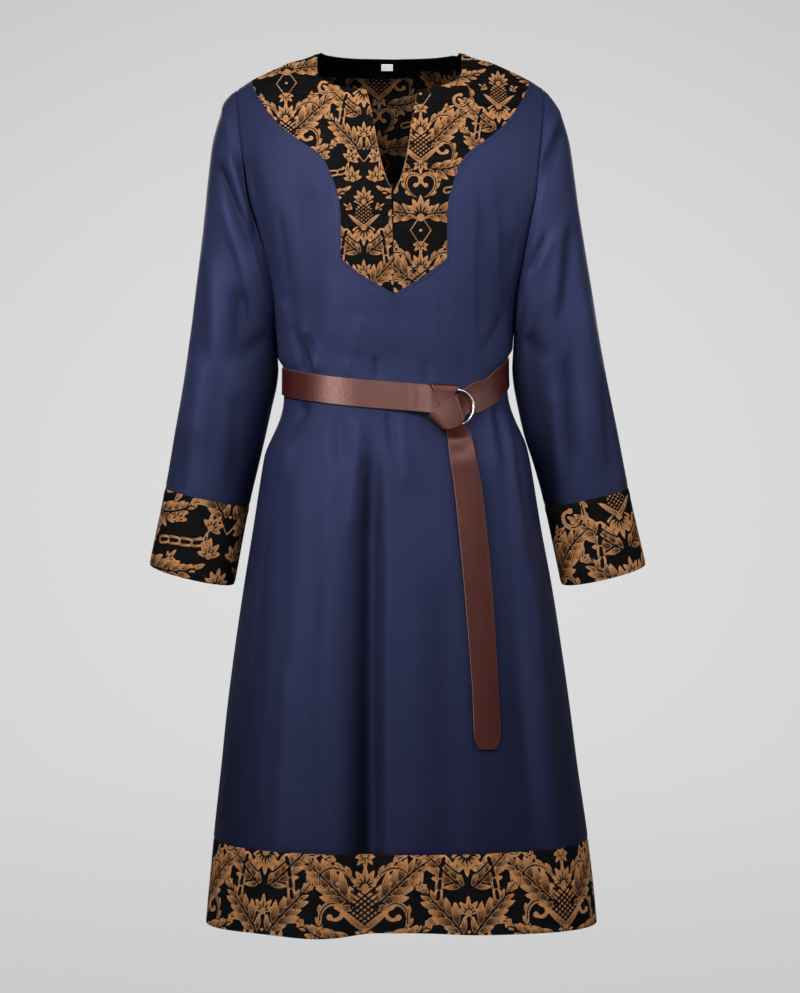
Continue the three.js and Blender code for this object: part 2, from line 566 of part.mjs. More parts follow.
const BAND_ROWS = 4;
for (const face of ['front', 'back']) {
  const bandPoint = (column, row) => {
    const across = THREE.MathUtils.clamp((2 * column) / COLUMNS[face] - 1, -1, 1);
    const topZ = hemSeamHeight(across) - SEAM_GAP / 2;
    const z = lerp(topZ, hemHeight(face, across), row / BAND_ROWS);
    const point = bodyPoint(face, across, z, z);
    point.y = (face === 'front' ? -1 : 1) * Math.max(Math.abs(point.y), SEAM_GAP / 2);
    return point;
  };
  const bandRim = (column, row) => {
    if (column !== 0 && column !== COLUMNS[face]) return null;
    const side = column === 0 ? -1 : 1;
    const up = bandPoint(column, row - 0.3).sub(bandPoint(column, row + 0.3));
    return new THREE.Vector3(side * up.z, 0, -side * up.x).normalize();
  };
  addPart(`hem_band_${face}`, wall({
    columns: COLUMNS[face],
    rows: BAND_ROWS,
    surface: bandPoint,
    thickness: CLOTH,
    flip: face === 'front',
    rimNormal: bandRim,
  }), BROCADE, 0.8);
}

// ---- sleeves and cuffs ----

const RING_POINTS = 2 * UPPER;
const SLEEVE_POWER = 2.2;

/** Angle round the sleeve of each armhole point, by its share of the seam's length. */
function ringAngles(side) {
  const ring = ARMHOLES[side];
  const half = (from, to) => {
    const lengths = [0];
    for (let k = from; k < to; k += 1) {
      lengths.push(lengths.at(-1) + ring[k].distanceTo(ring[(k + 1) % RING_POINTS]));
    }
    return lengths.map((length) => (Math.PI * length) / lengths.at(-1));
  };
  const front = half(0, UPPER);
  const back = half(UPPER, RING_POINTS).map((angle) => Math.PI + angle);
  return [...front, ...back.slice(1, -1)];
}

/** Point of the sleeve at a seam point and ring; ring 0 is the armhole. */
function sleevePoint(side, angles, k, ringRow) {
  const index = ((k % RING_POINTS) + RING_POINTS) % RING_POINTS;
  const low = Math.floor(index);
  const high = (low + 1) % RING_POINTS;
  const wrap = high === 0 ? 2 * Math.PI : 0;
  const angle = lerp(angles[low], angles[high] + wrap, index - low);
  const rows = SLEEVE.map((row, n) => ({ ...row, z: -(n + 1) }));
  const value = (column) => atHeight(rows, column, -Math.max(ringRow, 1));
  const tuck = side > 0 ? value('tuck') : 0;
  const inX = value('inX') - tuck;
  const outX = value('outX');
  const inZ = value('inZ');
  const outZ = value('outZ');
  const upDown = signedPower(Math.cos(angle), 2 / SLEEVE_POWER);
  const ahead = signedPower(Math.sin(angle), 2 / SLEEVE_POWER);
  const z = (inZ + outZ) / 2 + ((outZ - inZ) / 2) * upDown - value('drop') * ahead;
  const x = (inX + outX) / 2 + ((outX - inX) / 2) * upDown;
  const y = value('y') - value('deep') * ahead;
  const ring = new THREE.Vector3(side * x + atHeight(BODY, 'sway', z), y, z);
  if (ringRow >= 1) return ring;
  const seam = ARMHOLES[side][low].clone().lerp(ARMHOLES[side][high], index - low);
  seam.x += side * SEAM_GAP;
  return seam.lerp(ring, Math.max(ringRow, 0));
}

const CUFF_ROWS = 3;
const CUFF_TOP = CUFF_SEAM_RING + SEAM_GAP / 100;

// Left and right are as seen from the front: sleeve_left is on the wearer's right arm.
for (const [name, side] of [['left', -1], ['right', 1]]) {
  const angles = ringAngles(side);
  const cuffRow = (row) => lerp(CUFF_TOP, CUFF_SEAM_RING + 1, row / CUFF_ROWS);
  addPart(`sleeve_${name}`, wall({
    columns: RING_POINTS,
    rows: CUFF_SEAM_RING,
    surface: (k, row) => sleevePoint(side, angles, k, Math.min(row, CUFF_SEAM_RING)),
    thickness: CLOTH,
    flip: side < 0,
    tube: true,
    rimNormal: (i, j) => (j === 0 ? armholeNormal(side, i) : null),
  }), NAVY, 0.5);
  addPart(`cuff_${name}`, wall({
    columns: RING_POINTS,
    rows: CUFF_ROWS,
    surface: (k, row) => sleevePoint(side, angles, k, cuffRow(row)),
    thickness: CLOTH,
    flip: side < 0,
    tube: true,
  }), BROCADE, 0.8);
}

// ---- belt ----

const beltFront = (x) => BELT_HALF_DEPTH
  * Math.max(0, 1 - Math.abs(x / BELT_HALF_WIDTH) ** SECTION_POWER) ** (1 / SECTION_POWER);

/** How far forward the cloth lies at a place seen from the front. */
const clothFront = (x, z) => Math.max(beltFront(x - BELT_SWAY), -clothAt('front', x, z, z).y);

/** Point of the strap's middle layer in the knot: in front of the cloth by its lift. */
const knotPoint = (x, z, lift) => new THREE.Vector3(x, -(clothFront(x, z) + lift), z);

/** Point on the waist at a turn, out from the cloth by a lift. */
function waistPoint(turn, z, lift) {
  const angle = THREE.MathUtils.degToRad(turn);
  const power = 2 / SECTION_POWER;
  const x = (BELT_HALF_WIDTH + lift) * signedPower(Math.sin(angle), power) + BELT_SWAY;
  const y = -(BELT_HALF_DEPTH + lift) * signedPower(Math.cos(angle), power);
  return new THREE.Vector3(x, y, z);
}

const STRAP_COLUMNS = 3;
const strapShares = Array.from({ length: STRAP_COLUMNS + 1 }, (_, k) => k / STRAP_COLUMNS);
const knotRow = (row) => strapShares.map((share) => knotPoint(
  lerp(row.topX, row.lowX, share),
  lerp(row.topZ, row.lowZ, share),
  lerp(row.topLift, row.lowLift, share),
));

// The strap's way round the waist, in degrees from the front, the far way from loop to knot.
const WAIST = { from: -9, to: -306, step: 9, nearby: 2 };
const waistRows = [];
for (let turn = WAIST.from; turn >= WAIST.to; turn -= WAIST.step) {
  const facing = turn < -180 ? turn + 360 : turn;
  const middle = waistPoint(facing, beltHeight(facing), BELT_LIFT);
  const [before, after] = [facing + WAIST.nearby, facing - WAIST.nearby]
    .map((degrees) => waistPoint(degrees, beltHeight(degrees), BELT_LIFT));
  const along = after.sub(before).normalize();
  const out = new THREE.Vector3(middle.x / BELT_HALF_WIDTH ** 2, middle.y / BELT_HALF_DEPTH ** 2, 0)
    .normalize();
  const up = along.clone().cross(out).normalize();
  if (up.z < 0) up.negate();
  waistRows.push(strapShares.map((share) => middle.clone()
    .addScaledVector(up, STRAP_WIDTH * (0.5 - share))));
}

const strapRows = [...LOOP.map(knotRow), ...waistRows, ...KNOT.map(knotRow)];
const strapLines = strapShares.map((_, k) => new THREE.CatmullRomCurve3(
  strapRows.map((row) => row[k]), false, 'centripetal'));
const ROWS_PER_STATION = 2;
const strapSteps = (strapRows.length - 1) * ROWS_PER_STATION;

/** Middle layer of the strap: across from top to bottom edge, along by row. */
function strapMiddle(column, row) {
  const t = THREE.MathUtils.clamp(row / strapSteps, 0, 1);
  const k = THREE.MathUtils.clamp(Math.floor(column), 0, STRAP_COLUMNS - 1);
  const near = strapLines[k].getPoint(t);
  return near.lerp(strapLines[k + 1].getPoint(t), column - k);
}

function strapNormal(column, row) {
  const along = strapMiddle(column, row + 0.3).sub(strapMiddle(column, row - 0.3));
  const across = strapMiddle(column + 0.2, row).sub(strapMiddle(column - 0.2, row));
  return across.cross(along).normalize();
}

addPart('belt_strap', wall({
  columns: STRAP_COLUMNS,
  rows: strapSteps,
  surface: (i, j) => strapMiddle(i, j).addScaledVector(strapNormal(i, j), LEATHER / 2),
  thickness: LEATHER,
  rimNormal: strapNormal,
}), BROWN, 0.45);

const RING_AT = { x: 80, z: -459.3, lift: 6.5, turn: 15.5 };
const ring = new THREE.TorusGeometry(RING_RADIUS, RING_WIRE, 8, 36);
ring.rotateX(Math.PI / 2);
ring.rotateZ(THREE.MathUtils.degToRad(RING_AT.turn));
ring.translate(RING_AT.x, -(beltFront(RING_AT.x - BELT_SWAY) + RING_AT.lift), RING_AT.z);
ring.deleteAttribute('normal');
ring.deleteAttribute('uv');
addPart('belt_ring', BufferGeometryUtils.mergeVertices(ring, 1e-4), NICKEL, 0.25, 1);

// ---- neck label ----

const LABEL = { x: -9.3, width: 15.5, height: 6.8, thick: 0.6, top: 0.9, loose: 0.9 };
const LABEL_STEPS = 3;

/** Point on the inside of the back neck, in from the cloth's outside by a depth. */
function insideBack(column, row, depth) {
  const x = LABEL.x - LABEL.width / 2 + (LABEL.width * column) / LABEL_STEPS;
  const z = LABEL.top - (LABEL.height * row) / LABEL_STEPS;
  const at = (sideways, up) => clothAt('back', x + sideways, SHOULDER_TIP_Z, z + up);
  const sidewaysWay = at(1, 0).sub(at(-1, 0));
  const upWay = at(0, 1).sub(at(0, -1));
  const inwards = sidewaysWay.cross(upWay).normalize();
  return at(0, 0).addScaledVector(inwards, depth);
}
addPart('neck_label', wall({
  columns: LABEL_STEPS,
  rows: LABEL_STEPS,
  surface: (i, j) => insideBack(i, j, CLOTH + LABEL.loose + LABEL.thick),
  thickness: LABEL.thick,
  flip: true,
}), WHITE, 0.7);

export default parts;
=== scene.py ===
import math

import bpy
import numpy as np
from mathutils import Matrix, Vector


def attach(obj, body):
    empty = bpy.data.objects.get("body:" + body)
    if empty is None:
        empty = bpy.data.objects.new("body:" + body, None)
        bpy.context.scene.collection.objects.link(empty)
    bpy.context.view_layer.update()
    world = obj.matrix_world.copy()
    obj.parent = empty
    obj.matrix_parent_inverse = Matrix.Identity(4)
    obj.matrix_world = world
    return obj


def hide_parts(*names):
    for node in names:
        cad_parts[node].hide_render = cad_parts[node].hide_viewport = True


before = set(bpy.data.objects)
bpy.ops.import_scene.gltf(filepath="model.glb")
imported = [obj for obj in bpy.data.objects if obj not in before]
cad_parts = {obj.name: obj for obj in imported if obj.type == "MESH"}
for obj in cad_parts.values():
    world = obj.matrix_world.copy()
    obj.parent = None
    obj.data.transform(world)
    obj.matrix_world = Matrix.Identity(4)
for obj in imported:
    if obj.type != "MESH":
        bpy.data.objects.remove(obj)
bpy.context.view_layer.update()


# ---- camera ----
# A long lens level with the belt, square on to the front of the dress.

SENSOR_WIDTH, LENS = 36.0, 111.55  # millimetres
CAMERA_PLACE = (0.0078, -4.0, -0.5726)

camera_data = bpy.data.cameras.new("front_camera")
camera_data.sensor_width = SENSOR_WIDTH
camera_data.lens = LENS
camera = bpy.data.objects.new("front_camera", camera_data)
bpy.context.collection.objects.link(camera)
camera.location = CAMERA_PLACE
camera.rotation_euler = (math.radians(90), 0, 0)
bpy.context.scene.camera = camera


# ---- satin body: front and back panels ----
# Two panels of navy satin, sewn at the sides and set into the yoke. The satin hangs from the
# shoulders, is drawn in by the belt and falls in long soft folds to the hem band.

MM = 0.001
SATIN_THICK = 1.5
SEAM_GAP = 0.02  # between pieces that are sewn together
SECTION_POWER = 2.35  # roundness of the body's level sections
SHOULDER_TIP_Z = -45.0
ARMPIT_Z = -345.0
FRONT_ROLL, BACK_ROLL = 110.0, 60.0  # height over which the cloth rolls off the shoulder line
HEM_SEAM_SIDE_Z, HEM_SEAM_SAG = -1014.0, 9.0
BELT_HALF_WIDTH, BELT_HALF_DEPTH, BELT_SWAY = 145.0, 96.5, 2.0
# Distances from the belt's middle line, or the knot's, up to which the cloth is drawn in to the
# belt, and beyond which it hangs free.
SIDE_CINCH, SIDE_ABOVE, SIDE_BELOW = 16.0, 30.0, 100.0
BELT_CINCH = (20.0, 80.0)
KNOT_X, KNOT_Z = 70.0, -465.0
KNOT_CINCH = (36.0, 62.0)
# The same for the flat cloth without creases under the belt, the knot and the hanging end.
BELT_FLAT, KNOT_FLAT, END_FLAT = (15, 24), (30, 44), (19, 30)
END_TIP = (-905, -890)
END_MIDDLE = ([-892, -816, -665, -552, -487], [118.5, 115.4, 104.6, 92.6, 81])  # z, x

# height, half width, depth in front, depth behind, sway to the wearer's left
BODY = np.array([
    (20, 222, 68, 104, -5), (-45, 222, 84, 108, -4.5), (-96, 219, 97, 114, -4),
    (-142, 213, 105, 118, -3.5), (-188, 206, 110, 118, -3), (-225, 193, 111, 116, -2),
    (-270, 175.5, 110, 112, -1), (-317, 160, 107, 107, 0), (-345, 156, 104, 104, 0.5),
    (-380, 153, 101, 100.5, 1), (-402, 151, 99.5, 98.5, 1.5), (-425, 147.5, 99, 98.5, 2),
    (-452, 156, 101, 101, 2.5), (-493, 165.5, 105.5, 106, 3), (-532, 173.5, 109, 110, 3.5),
    (-610, 186, 114, 116, 4), (-688, 199.5, 119, 120, 5), (-766, 211.5, 124, 124, 5.5),
    (-844, 222, 128, 128, 6), (-922, 231, 131, 131, 7), (-1000, 241, 135, 135, 8.5),
    (-1078, 249.5, 138, 138, 9.5), (-1150, 256, 141, 141, 9.5)])
# height, how far out the armhole seam lies
ARMHOLE = np.array([
    (-45, 200), (-96, 196), (-142, 191), (-188, 185.5), (-225, 177.5), (-270, 168),
    (-317, 158.5), (-345, 156)])
# distance from the middle (as a falling number), height of the shoulder line
SHOULDER_LINE = np.array([
    (0, 16), (-50, 13), (-80, 7), (-93.5, 3), (-112, -4), (-130, -8.5), (-143, -14),
    (-156, -20), (-169, -26), (-182, -33), (-200, -45)])
# degrees from the front towards the wearer's left (as a falling number), height of the belt
BELT_LINE = np.array([
    (180, -405), (90, -422), (45, -433), (0, -444.5), (-42, -449), (-62, -427.5),
    (-90, -409.5), (-125, -403), (-180, -405)])

# Long folds of the front: x and z of the upper end, of the lower end, width, depth.
FRONT_FOLDS = [
    (-28, -455, -38, -1160, 15, -8.0), (-80, -480, -84, -1150, 36, 5.0),
    (-66, -545, -120, -790, 15, -1.5), (30, -560, 34, -1150, 50, 4.0),
    (132, -470, 196, -1040, 18, 3.5), (112, -500, 168, -1000, 15, -4.0),
    (-112, -150, -106, -420, 17, -4.0), (146, -150, 118, -420, 12, -3.5)]
# Creases that the belt, the arms and the side seams draw in it, in the same columns.
FRONT_CREASES = [
    (118, -190, 104, -395, 12, -3.0), (146, -230, 132, -400, 9, -3.0),
    (134, -200, 119, -400, 8, 2.0), (88, -300, 72, -400, 9, -2.5),
    (-92, -180, -84, -330, 16, -2.0), (-118, -470, -152, -1200, 20, 4.0),
    (48, -600, 62, -1300, 26, -3.0), (136, -470, 172, -1100, 9, -1.5),
    (-152, -560, -186, -1250, 16, 2.5), (156, -470, 205, -1150, 12, 3.5),
    (-35, -440, -45, -1420, 19, -8.5), (-82, -470, -96, -1400, 24, 4.5),
    (-20, -470, -14, -1300, 22, 2.5), (64, -470, 84, -1300, 26, 2.2),
    (172, -620, 205, -1200, 16, 2.0), (-112, -360, -116, -432, 6, -5.0),
    (-134, -345, -110, -424, 6, -5.0), (-120, -350, -98, -424, 6, 3.0),
    (-188, -125, -150, -335, 13, -4.0), (-40, -340, -52, -400, 12, 1.5),
    (-98, -372, -101, -430, 6, 2.7), (-24, -392, -22, -432, 5, -2.7),
    (-60, -396, -58, -432, 7, 1.8), (84, -378, 82, -434, 6, -3.3), (96, -372, 92, -432, 7, 3.0),
    (40, -396, 42, -434, 7, -1.8), (-112, -450, -144, -510, 7, -7.0),
    (-122, -455, -150, -560, 9, 3.6), (-74, -462, -70, -540, 8, -2.7),
    (-11, -462, -2, -520, 5, -2.5), (6, -462, 16, -575, 9, 2.7), (-46, -464, -56, -640, 10, 4.2),
    (126, -447, 148, -560, 5, -3.6), (137, -450, 166, -680, 8, 4.2),
    (150, -500, 176, -700, 6, -2.2), (116, -455, 128, -560, 7, 3.0),
    (-165, -600, -189, -830, 5, -2.2), (-187, -800, -226, -1010, 6, -2.6),
    (-174, -640, -214, -960, 10, 1.6), (108, -165, 132, -345, 6, -2.0),
    (130, -172, 140, -392, 5, 1.6), (158, -230, 139, -372, 5, -2.4),
    (-146, -200, -128, -370, 7, -2.2), (-120, -186, -112, -330, 10, 1.6),
    (-150, -315, -118, -380, 5, 1.8), (-142, -330, -92, -405, 6, -1.5),
    (146, -330, 104, -402, 6, -1.5), (0, -318, 4, -420, 14, -1.2), (60, -300, 72, -400, 16, 1.4),
    (-70, -290, -84, -392, 16, 1.2), (62, -640, 74, -1080, 20, -2.2),
    (196, -720, 220, -1040, 9, -2.4), (-140, -760, -160, -1090, 12, 2.2),
    (-8, -700, -4, -1110, 16, -1.8)]
BACK_FOLDS = [
    (0, -455, 6, -1160, 18, -8.0), (-60, -470, -92, -1150, 28, 6.0),
    (62, -470, 98, -1150, 28, 6.0), (-112, -490, -176, -1100, 20, -4.0),
    (116, -490, 172, -1120, 20, -5.0), (-50, -230, -36, -420, 18, -4.0),
    (56, -210, 44, -420, 18, -4.0)]
BACK_CREASES = [
    (-26, -452, -40, -620, 8, -3.0), (30, -452, 40, -600, 8, -2.8),
    (-84, -446, -104, -560, 7, -2.6), (92, -446, 112, -590, 7, -2.8),
    (-12, -352, -10, -384, 6, -2.0), (22, -346, 18, -384, 6, 1.8), (-72, -338, -64, -386, 6, -2.2),
    (80, -338, 72, -388, 6, -2.2), (-116, -440, -138, -520, 6, 2.2),
    (124, -442, 144, -540, 6, 2.2), (-150, -560, -186, -900, 9, -2.6),
    (148, -560, 184, -860, 8, -2.4), (-150, -210, -96, -350, 8, -2.6),
    (154, -220, 100, -356, 8, -2.4), (-130, -230, -84, -372, 9, 2.0),
    (132, -236, 90, -372, 9, 2.0), (34, -700, 46, -1110, 14, -3.0),
    (-34, -760, -40, -1110, 12, -2.4), (0, -205, 4, -330, 22, -1.6),
    (-136, -820, -150, -1100, 14, 2.6), (138, -800, 150, -1100, 14, 2.4)]


def smooth_table(table, column, at):
    """Smooth value of a column at heights: a cubic through each pair of rows whose slopes are
    those of the chords across their neighbours."""
    h, v = -table[:, 0], table[:, column]
    slope = np.zeros(len(v))
    slope[1:-1] = (v[2:] - v[:-2]) / (h[2:] - h[:-2])
    slope[[0, -1]] = [(v[1] - v[0]) / (h[1] - h[0]), (v[-1] - v[-2]) / (h[-1] - h[-2])]
    q = np.clip(-np.asarray(at, float), h[0], h[-1])
    i = np.clip(np.searchsorted(h, q, side="right") - 1, 0, len(h) - 2)
    span = h[i + 1] - h[i]
    t = (q - h[i]) / span
    bend = slope[i] * span * t * (1 - t) ** 2 - slope[i + 1] * span * t * t * (1 - t)
    return v[i] + (v[i + 1] - v[i]) * t * t * (3 - 2 * t) + bend


def ease(x, low, high):
    """0 below low, 1 above high, and 3t^2 - 2t^3 between."""
    t = np.clip((x - low) / (high - low), 0, 1)
    return t * t * (3 - 2 * t)


def signed_power(x, power):
    """Absolute value to a power, with the sign kept."""
    return np.sign(x) * np.abs(x) ** power


def bell(x, width):
    """exp(-(x / width)^2)."""
    return np.exp(-(x / width) ** 2)


def crease_sum(rows, x, z):
    """Sum of creases: each is depth * exp(-(distance across / width)^2) along a line from its
    upper to its lower end, eased in over a fifth of its length and out over a third; its width
    grows by half on the way down."""
    total = np.zeros(np.broadcast(x, z).shape)
    for x0, z0, x1, z1, width, depth in rows:
        dx, dz = x1 - x0, z1 - z0
        long = math.hypot(dx, dz)
        t = ((x - x0) * dx + (z - z0) * dz) / long ** 2
        off = ((x - x0) * dz - (z - z0) * dx) / long
        ends = ease(t, 0, 0.2) * (1 - ease(t, 0.68, 1.0))
        total += depth * ends * bell(off, width * (0.8 + 0.4 * np.clip(t, 0, 1)))
    return total


def shoulder_height(x):
    """Height of the shoulder line at a distance from the middle."""
    return smooth_table(SHOULDER_LINE, 1, -np.abs(x))


def belt_height(turn):
    """Height of the belt's middle line at a turn from the front, in degrees."""
    return smooth_table(BELT_LINE, 1, -np.asarray(turn, float))


def body_surface(face, across, width_z, z, creased=True):
    """Outside of the worn cloth: a superellipse section, x = half * sin^(2/n), y = depth *
    cos^(2/n), rolled off the shoulder line by a quarter circle, moved out by its folds and
    drawn in to the belt's ellipse near the strap and behind the knot."""
    across, width_z, z = np.broadcast_arrays(across, width_z, z)
    half = smooth_table(BODY, 1, np.minimum(width_z, SHOULDER_TIP_Z))
    seam = np.arcsin(np.minimum(1, smooth_table(ARMHOLE, 1, width_z) / half) ** (SECTION_POWER / 2))
    angle = across * np.where(width_z > ARMPIT_Z, seam, np.pi / 2)
    side = signed_power(np.sin(angle), 2 / SECTION_POWER)
    ahead = np.abs(np.cos(angle)) ** (2 / SECTION_POWER)
    sign, roll, column = (-1, FRONT_ROLL, 2) if face == "front" else (1, BACK_ROLL, 3)
    x = half * side
    drop = np.clip((shoulder_height(x) - z) / roll, 0, 1)
    depth = smooth_table(BODY, column, z) * np.sqrt(1 - (1 - drop) ** 2)
    y = sign * depth * ahead
    out_x = signed_power(side, SECTION_POWER - 1) / half
    out_y = sign * ahead ** (SECTION_POWER - 1) / np.maximum(depth, 1)
    out_long = np.hypot(out_x, out_y) + 1e-9
    folds = crease_sum(FRONT_FOLDS if face == "front" else BACK_FOLDS, x, z)
    x, y = x + folds * out_x / out_long, y + folds * out_y / out_long
    turn = np.degrees(angle)
    if face == "back":
        turn = np.where(turn < 0, -180 - turn, 180 - turn)
    above = z - belt_height(turn)
    pinch = 1 - ease(np.abs(above), *BELT_CINCH)
    if face == "front":
        pinch = np.maximum(pinch, 1 - ease(np.hypot(x - KNOT_X, z - KNOT_Z), *KNOT_CINCH))
    reach = np.where(above > 0, SIDE_ABOVE, SIDE_BELOW)
    x = x + (BELT_HALF_WIDTH * side - x) * (1 - ease(np.abs(above), SIDE_CINCH, reach))
    y = y + (sign * BELT_HALF_DEPTH * ahead - y) * pinch
    if creased:
        small = crease_sum(FRONT_CREASES if face == "front" else BACK_CREASES, x, z)
        under = 1 - ease(np.abs(above), *BELT_FLAT)
        if face == "front":
            from_end = np.abs(x - np.interp(z, *END_MIDDLE))
            under = np.maximum(under, 1 - ease(np.hypot(x - KNOT_X, z - KNOT_Z), *KNOT_FLAT))
            under = np.maximum(under, (1 - ease(from_end, *END_FLAT)) * ease(z, *END_TIP))
        small = small * (1 - under)
        x, y = x + small * out_x / out_long, y + small * out_y / out_long
    return np.stack([x + smooth_table(BODY, 4, z), y, z], -1)


def hem_seam_height(across):
    """Height of the seam of the hem band, lowest in the middle."""
    return HEM_SEAM_SIDE_Z - HEM_SEAM_SAG * np.cos(across * np.pi / 2)


def clear_of_seam(face, points):
    """Points kept half the seam gap in front of, or behind, the plane of the side seams."""
    away = -1 if face == "front" else 1
    points[..., 1] = away * np.maximum(np.abs(points[..., 1]), SEAM_GAP / 2)
    return points


def upper_point(face, across, share, creased=True):
    """Cloth between the shoulder line (share 0) and the armpit (share 1)."""
    across, share = np.broadcast_arrays(across, share)
    width_z = SHOULDER_TIP_Z + (ARMPIT_Z - SHOULDER_TIP_Z) * share
    rough = body_surface(face, across, width_z, width_z, False)[..., 0]
    top = shoulder_height(rough - smooth_table(BODY, 4, width_z))
    z = top + (ARMPIT_Z - top) * share
    return clear_of_seam(face, body_surface(face, across, width_z, z, creased))


def panel_point(face, across, down, creased=True):
    """Cloth of a whole panel: down runs 0 to 1 to the armpit and 1 to 2 to the hem seam."""
    across, down = np.broadcast_arrays(across, down)
    top = upper_point(face, across, np.clip(down, 0, 1), creased)
    z = ARMPIT_Z + (hem_seam_height(across) + SEAM_GAP / 2 - ARMPIT_Z) * np.clip(down - 1, 0, 1)
    low = clear_of_seam(face, body_surface(face, across, z, z, creased))
    return np.where((down < 1)[..., None], top, low)


def unit(vectors):
    """Vectors divided by their lengths."""
    return vectors / (np.linalg.norm(vectors, axis=-1, keepdims=True) + 1e-12)


def run_length(line):
    """Length along a line of points up to each of them."""
    return np.concatenate([[0], np.cumsum(np.linalg.norm(np.diff(line, axis=0), axis=-1))])


def cloth_uv(wide, long):
    """Places on the flat cloth: across and along it, one pair a point."""
    return np.stack(np.broadcast_arrays(wide, long), -1).reshape(-1, 2)


def cloth_width(points):
    """Length along each row of a grid, counted from its first point."""
    steps = np.diff(points, axis=1, prepend=points[:, :1])
    return np.cumsum(np.linalg.norm(steps, axis=-1), axis=1)


def grid_normals(points, flip=False, around=False):
    """Unit normals of a grid: the cross product of its differences along and across."""
    if around:
        wide = np.concatenate([points[:, -1:], points, points[:, :1]], 1)
        across = wide[:, 2:] - wide[:, :-2]
    else:
        across = np.gradient(points, axis=1)
    down = np.gradient(points, axis=0)
    normal = unit(np.cross(across, down))
    return -normal if flip else normal


def grid_quads(rows, columns, around=False, flip=False):
    """Corner numbers of a grid's faces, row by row."""
    wide = columns if around else columns - 1
    i, j = np.meshgrid(np.arange(wide), np.arange(rows - 1))
    a, b = j * columns + i, j * columns + (i + 1) % columns
    quads = np.stack([a, b, b + columns, a + columns], -1).reshape(-1, 4)
    return quads[:, ::-1] if flip else quads


def make_mesh(name, vertices, quads, uv=None, fields=None, sharp=40):
    """Blender object from whole arrays, in millimetres; uv and fields are one value a vertex, and
    edges sharper than so many degrees aren't smoothed over."""
    mesh = bpy.data.meshes.new(name)
    mesh.vertices.add(len(vertices))
    mesh.vertices.foreach_set("co", (np.asarray(vertices) * MM).astype(np.float32).ravel())
    mesh.loops.add(quads.size)
    mesh.loops.foreach_set("vertex_index", quads.astype(np.int32).ravel())
    mesh.polygons.add(len(quads))
    mesh.polygons.foreach_set("loop_start", np.arange(len(quads), dtype=np.int32) * 4)
    if uv is not None:
        layer = mesh.uv_layers.new(name="cloth")
        layer.data.foreach_set("uv", (uv[quads.ravel()] * MM).astype(np.float32).ravel())
    for key, values in (fields or {}).items():
        spot = mesh.attributes.new(key, "FLOAT", "POINT")
        spot.data.foreach_set("value", np.asarray(values, np.float32).ravel())
    mesh.update(calc_edges=True)
    mesh.validate()
    mesh.shade_smooth()
    mesh.set_sharp_from_angle(angle=math.radians(sharp))
    made = bpy.data.objects.new(name, mesh)
    bpy.context.collection.objects.link(made)
    return made


def make_shell(name, outside, quads, normals, thick, uv, fields=None):
    """Closed wall: the outside, the same points moved in by the thickness, and a rim on every
    edge that only one face uses. A field may hold the inside's values after the outside's."""
    outside, normals, count = outside.reshape(-1, 3), normals.reshape(-1, 3), outside.size // 3
    edges = np.concatenate([quads[:, [k, (k + 1) % 4]] for k in range(4)])
    key = np.sort(edges, 1) @ np.array([count, 1])
    _, first, times = np.unique(key, return_index=True, return_counts=True)
    rim = edges[first[times == 1]]
    rims = np.stack([rim[:, 1], rim[:, 0], rim[:, 0] + count, rim[:, 1] + count], 1)
    vertices = np.concatenate([outside, outside - normals * thick])
    faces = np.concatenate([quads, quads[:, ::-1] + count, rims])
    twice = {k: np.resize(np.ravel(v), 2 * count) for k, v in (fields or {}).items()}
    return make_mesh(name, vertices, faces, np.concatenate([uv, uv]), twice)


def path_distance(path, x, z):
    """Shortest distance from each place to an open line of corners."""
    nearest = np.full(np.broadcast(x, z).shape, 1e9)
    for (x0, z0), (x1, z1) in zip(path[:-1], path[1:]):
        dx, dz = x1 - x0, z1 - z0
        t = np.clip(((x - x0) * dx + (z - z0) * dz) / (dx * dx + dz * dz), 0, 1)
        nearest = np.minimum(nearest, np.hypot(x - x0 - t * dx, z - z0 - t * dz))
    return nearest


# Yoke outlines seen from the front: distance from the middle and height, from the shoulder.
YOKE_EDGE = np.array([
    (180.7, 80), (180.7, -30), (177, -45), (170, -60), (157.5, -80.5), (143, -99), (128, -112.5),
    (113.5, -123), (100, -132), (89.5, -142), (84, -152), (80, -163), (75, -175.5), (71, -188.5),
    (68.5, -201), (67.3, -214), (67.3, -271), (39.4, -293), (0.2, -316)])
BACK_YOKE_EDGE = np.array([
    (180.7, 80), (180.7, -30), (177.5, -45), (172, -60), (162.5, -82.5), (150, -105),
    (134, -127.5), (115, -148), (94, -167), (70, -182), (36, -192), (0.2, -196)])
YOKE_SHIFT, YOKE_SHIFT_FROM = -4.0, -190.0  # the yoke's top sits a little to the side
TOPSTITCH_AWAY = 5.0
SIDE_STRETCH = 150.0  # length of cloth that a half panel's last part across stands for
PAINTED_SHADE_FULL = 11.0  # fold depth at which the painted shade is darkest and how much paler than flat cloth a ridge is painted, a painted highlight
PAINTED_SHADE_LEAST = -0.35  # and how much paler than flat cloth a ridge can be


def yoke_shift(z):
    """How far the yoke's outline is moved sideways at a height."""
    return YOKE_SHIFT * ease(z, YOKE_SHIFT_FROM, SHOULDER_TIP_Z)


def edge_across(face, outline, side, down, shift):
    """Place across a panel, for each row, where it meets an outline: halving of the range."""
    low, high = np.zeros_like(down), np.ones_like(down)
    for _ in range(26):
        middle = (low + high) / 2
        point = panel_point(face, side * middle, down, False)
        x, z = point[..., 0], point[..., 2]
        limit = np.interp(-z, -outline[:, 1], outline[:, 0])
        inside = side * (x - shift(z)) < limit
        low, high = np.where(inside, middle, low), np.where(inside, high, middle)
    return side * (low + high) / 2


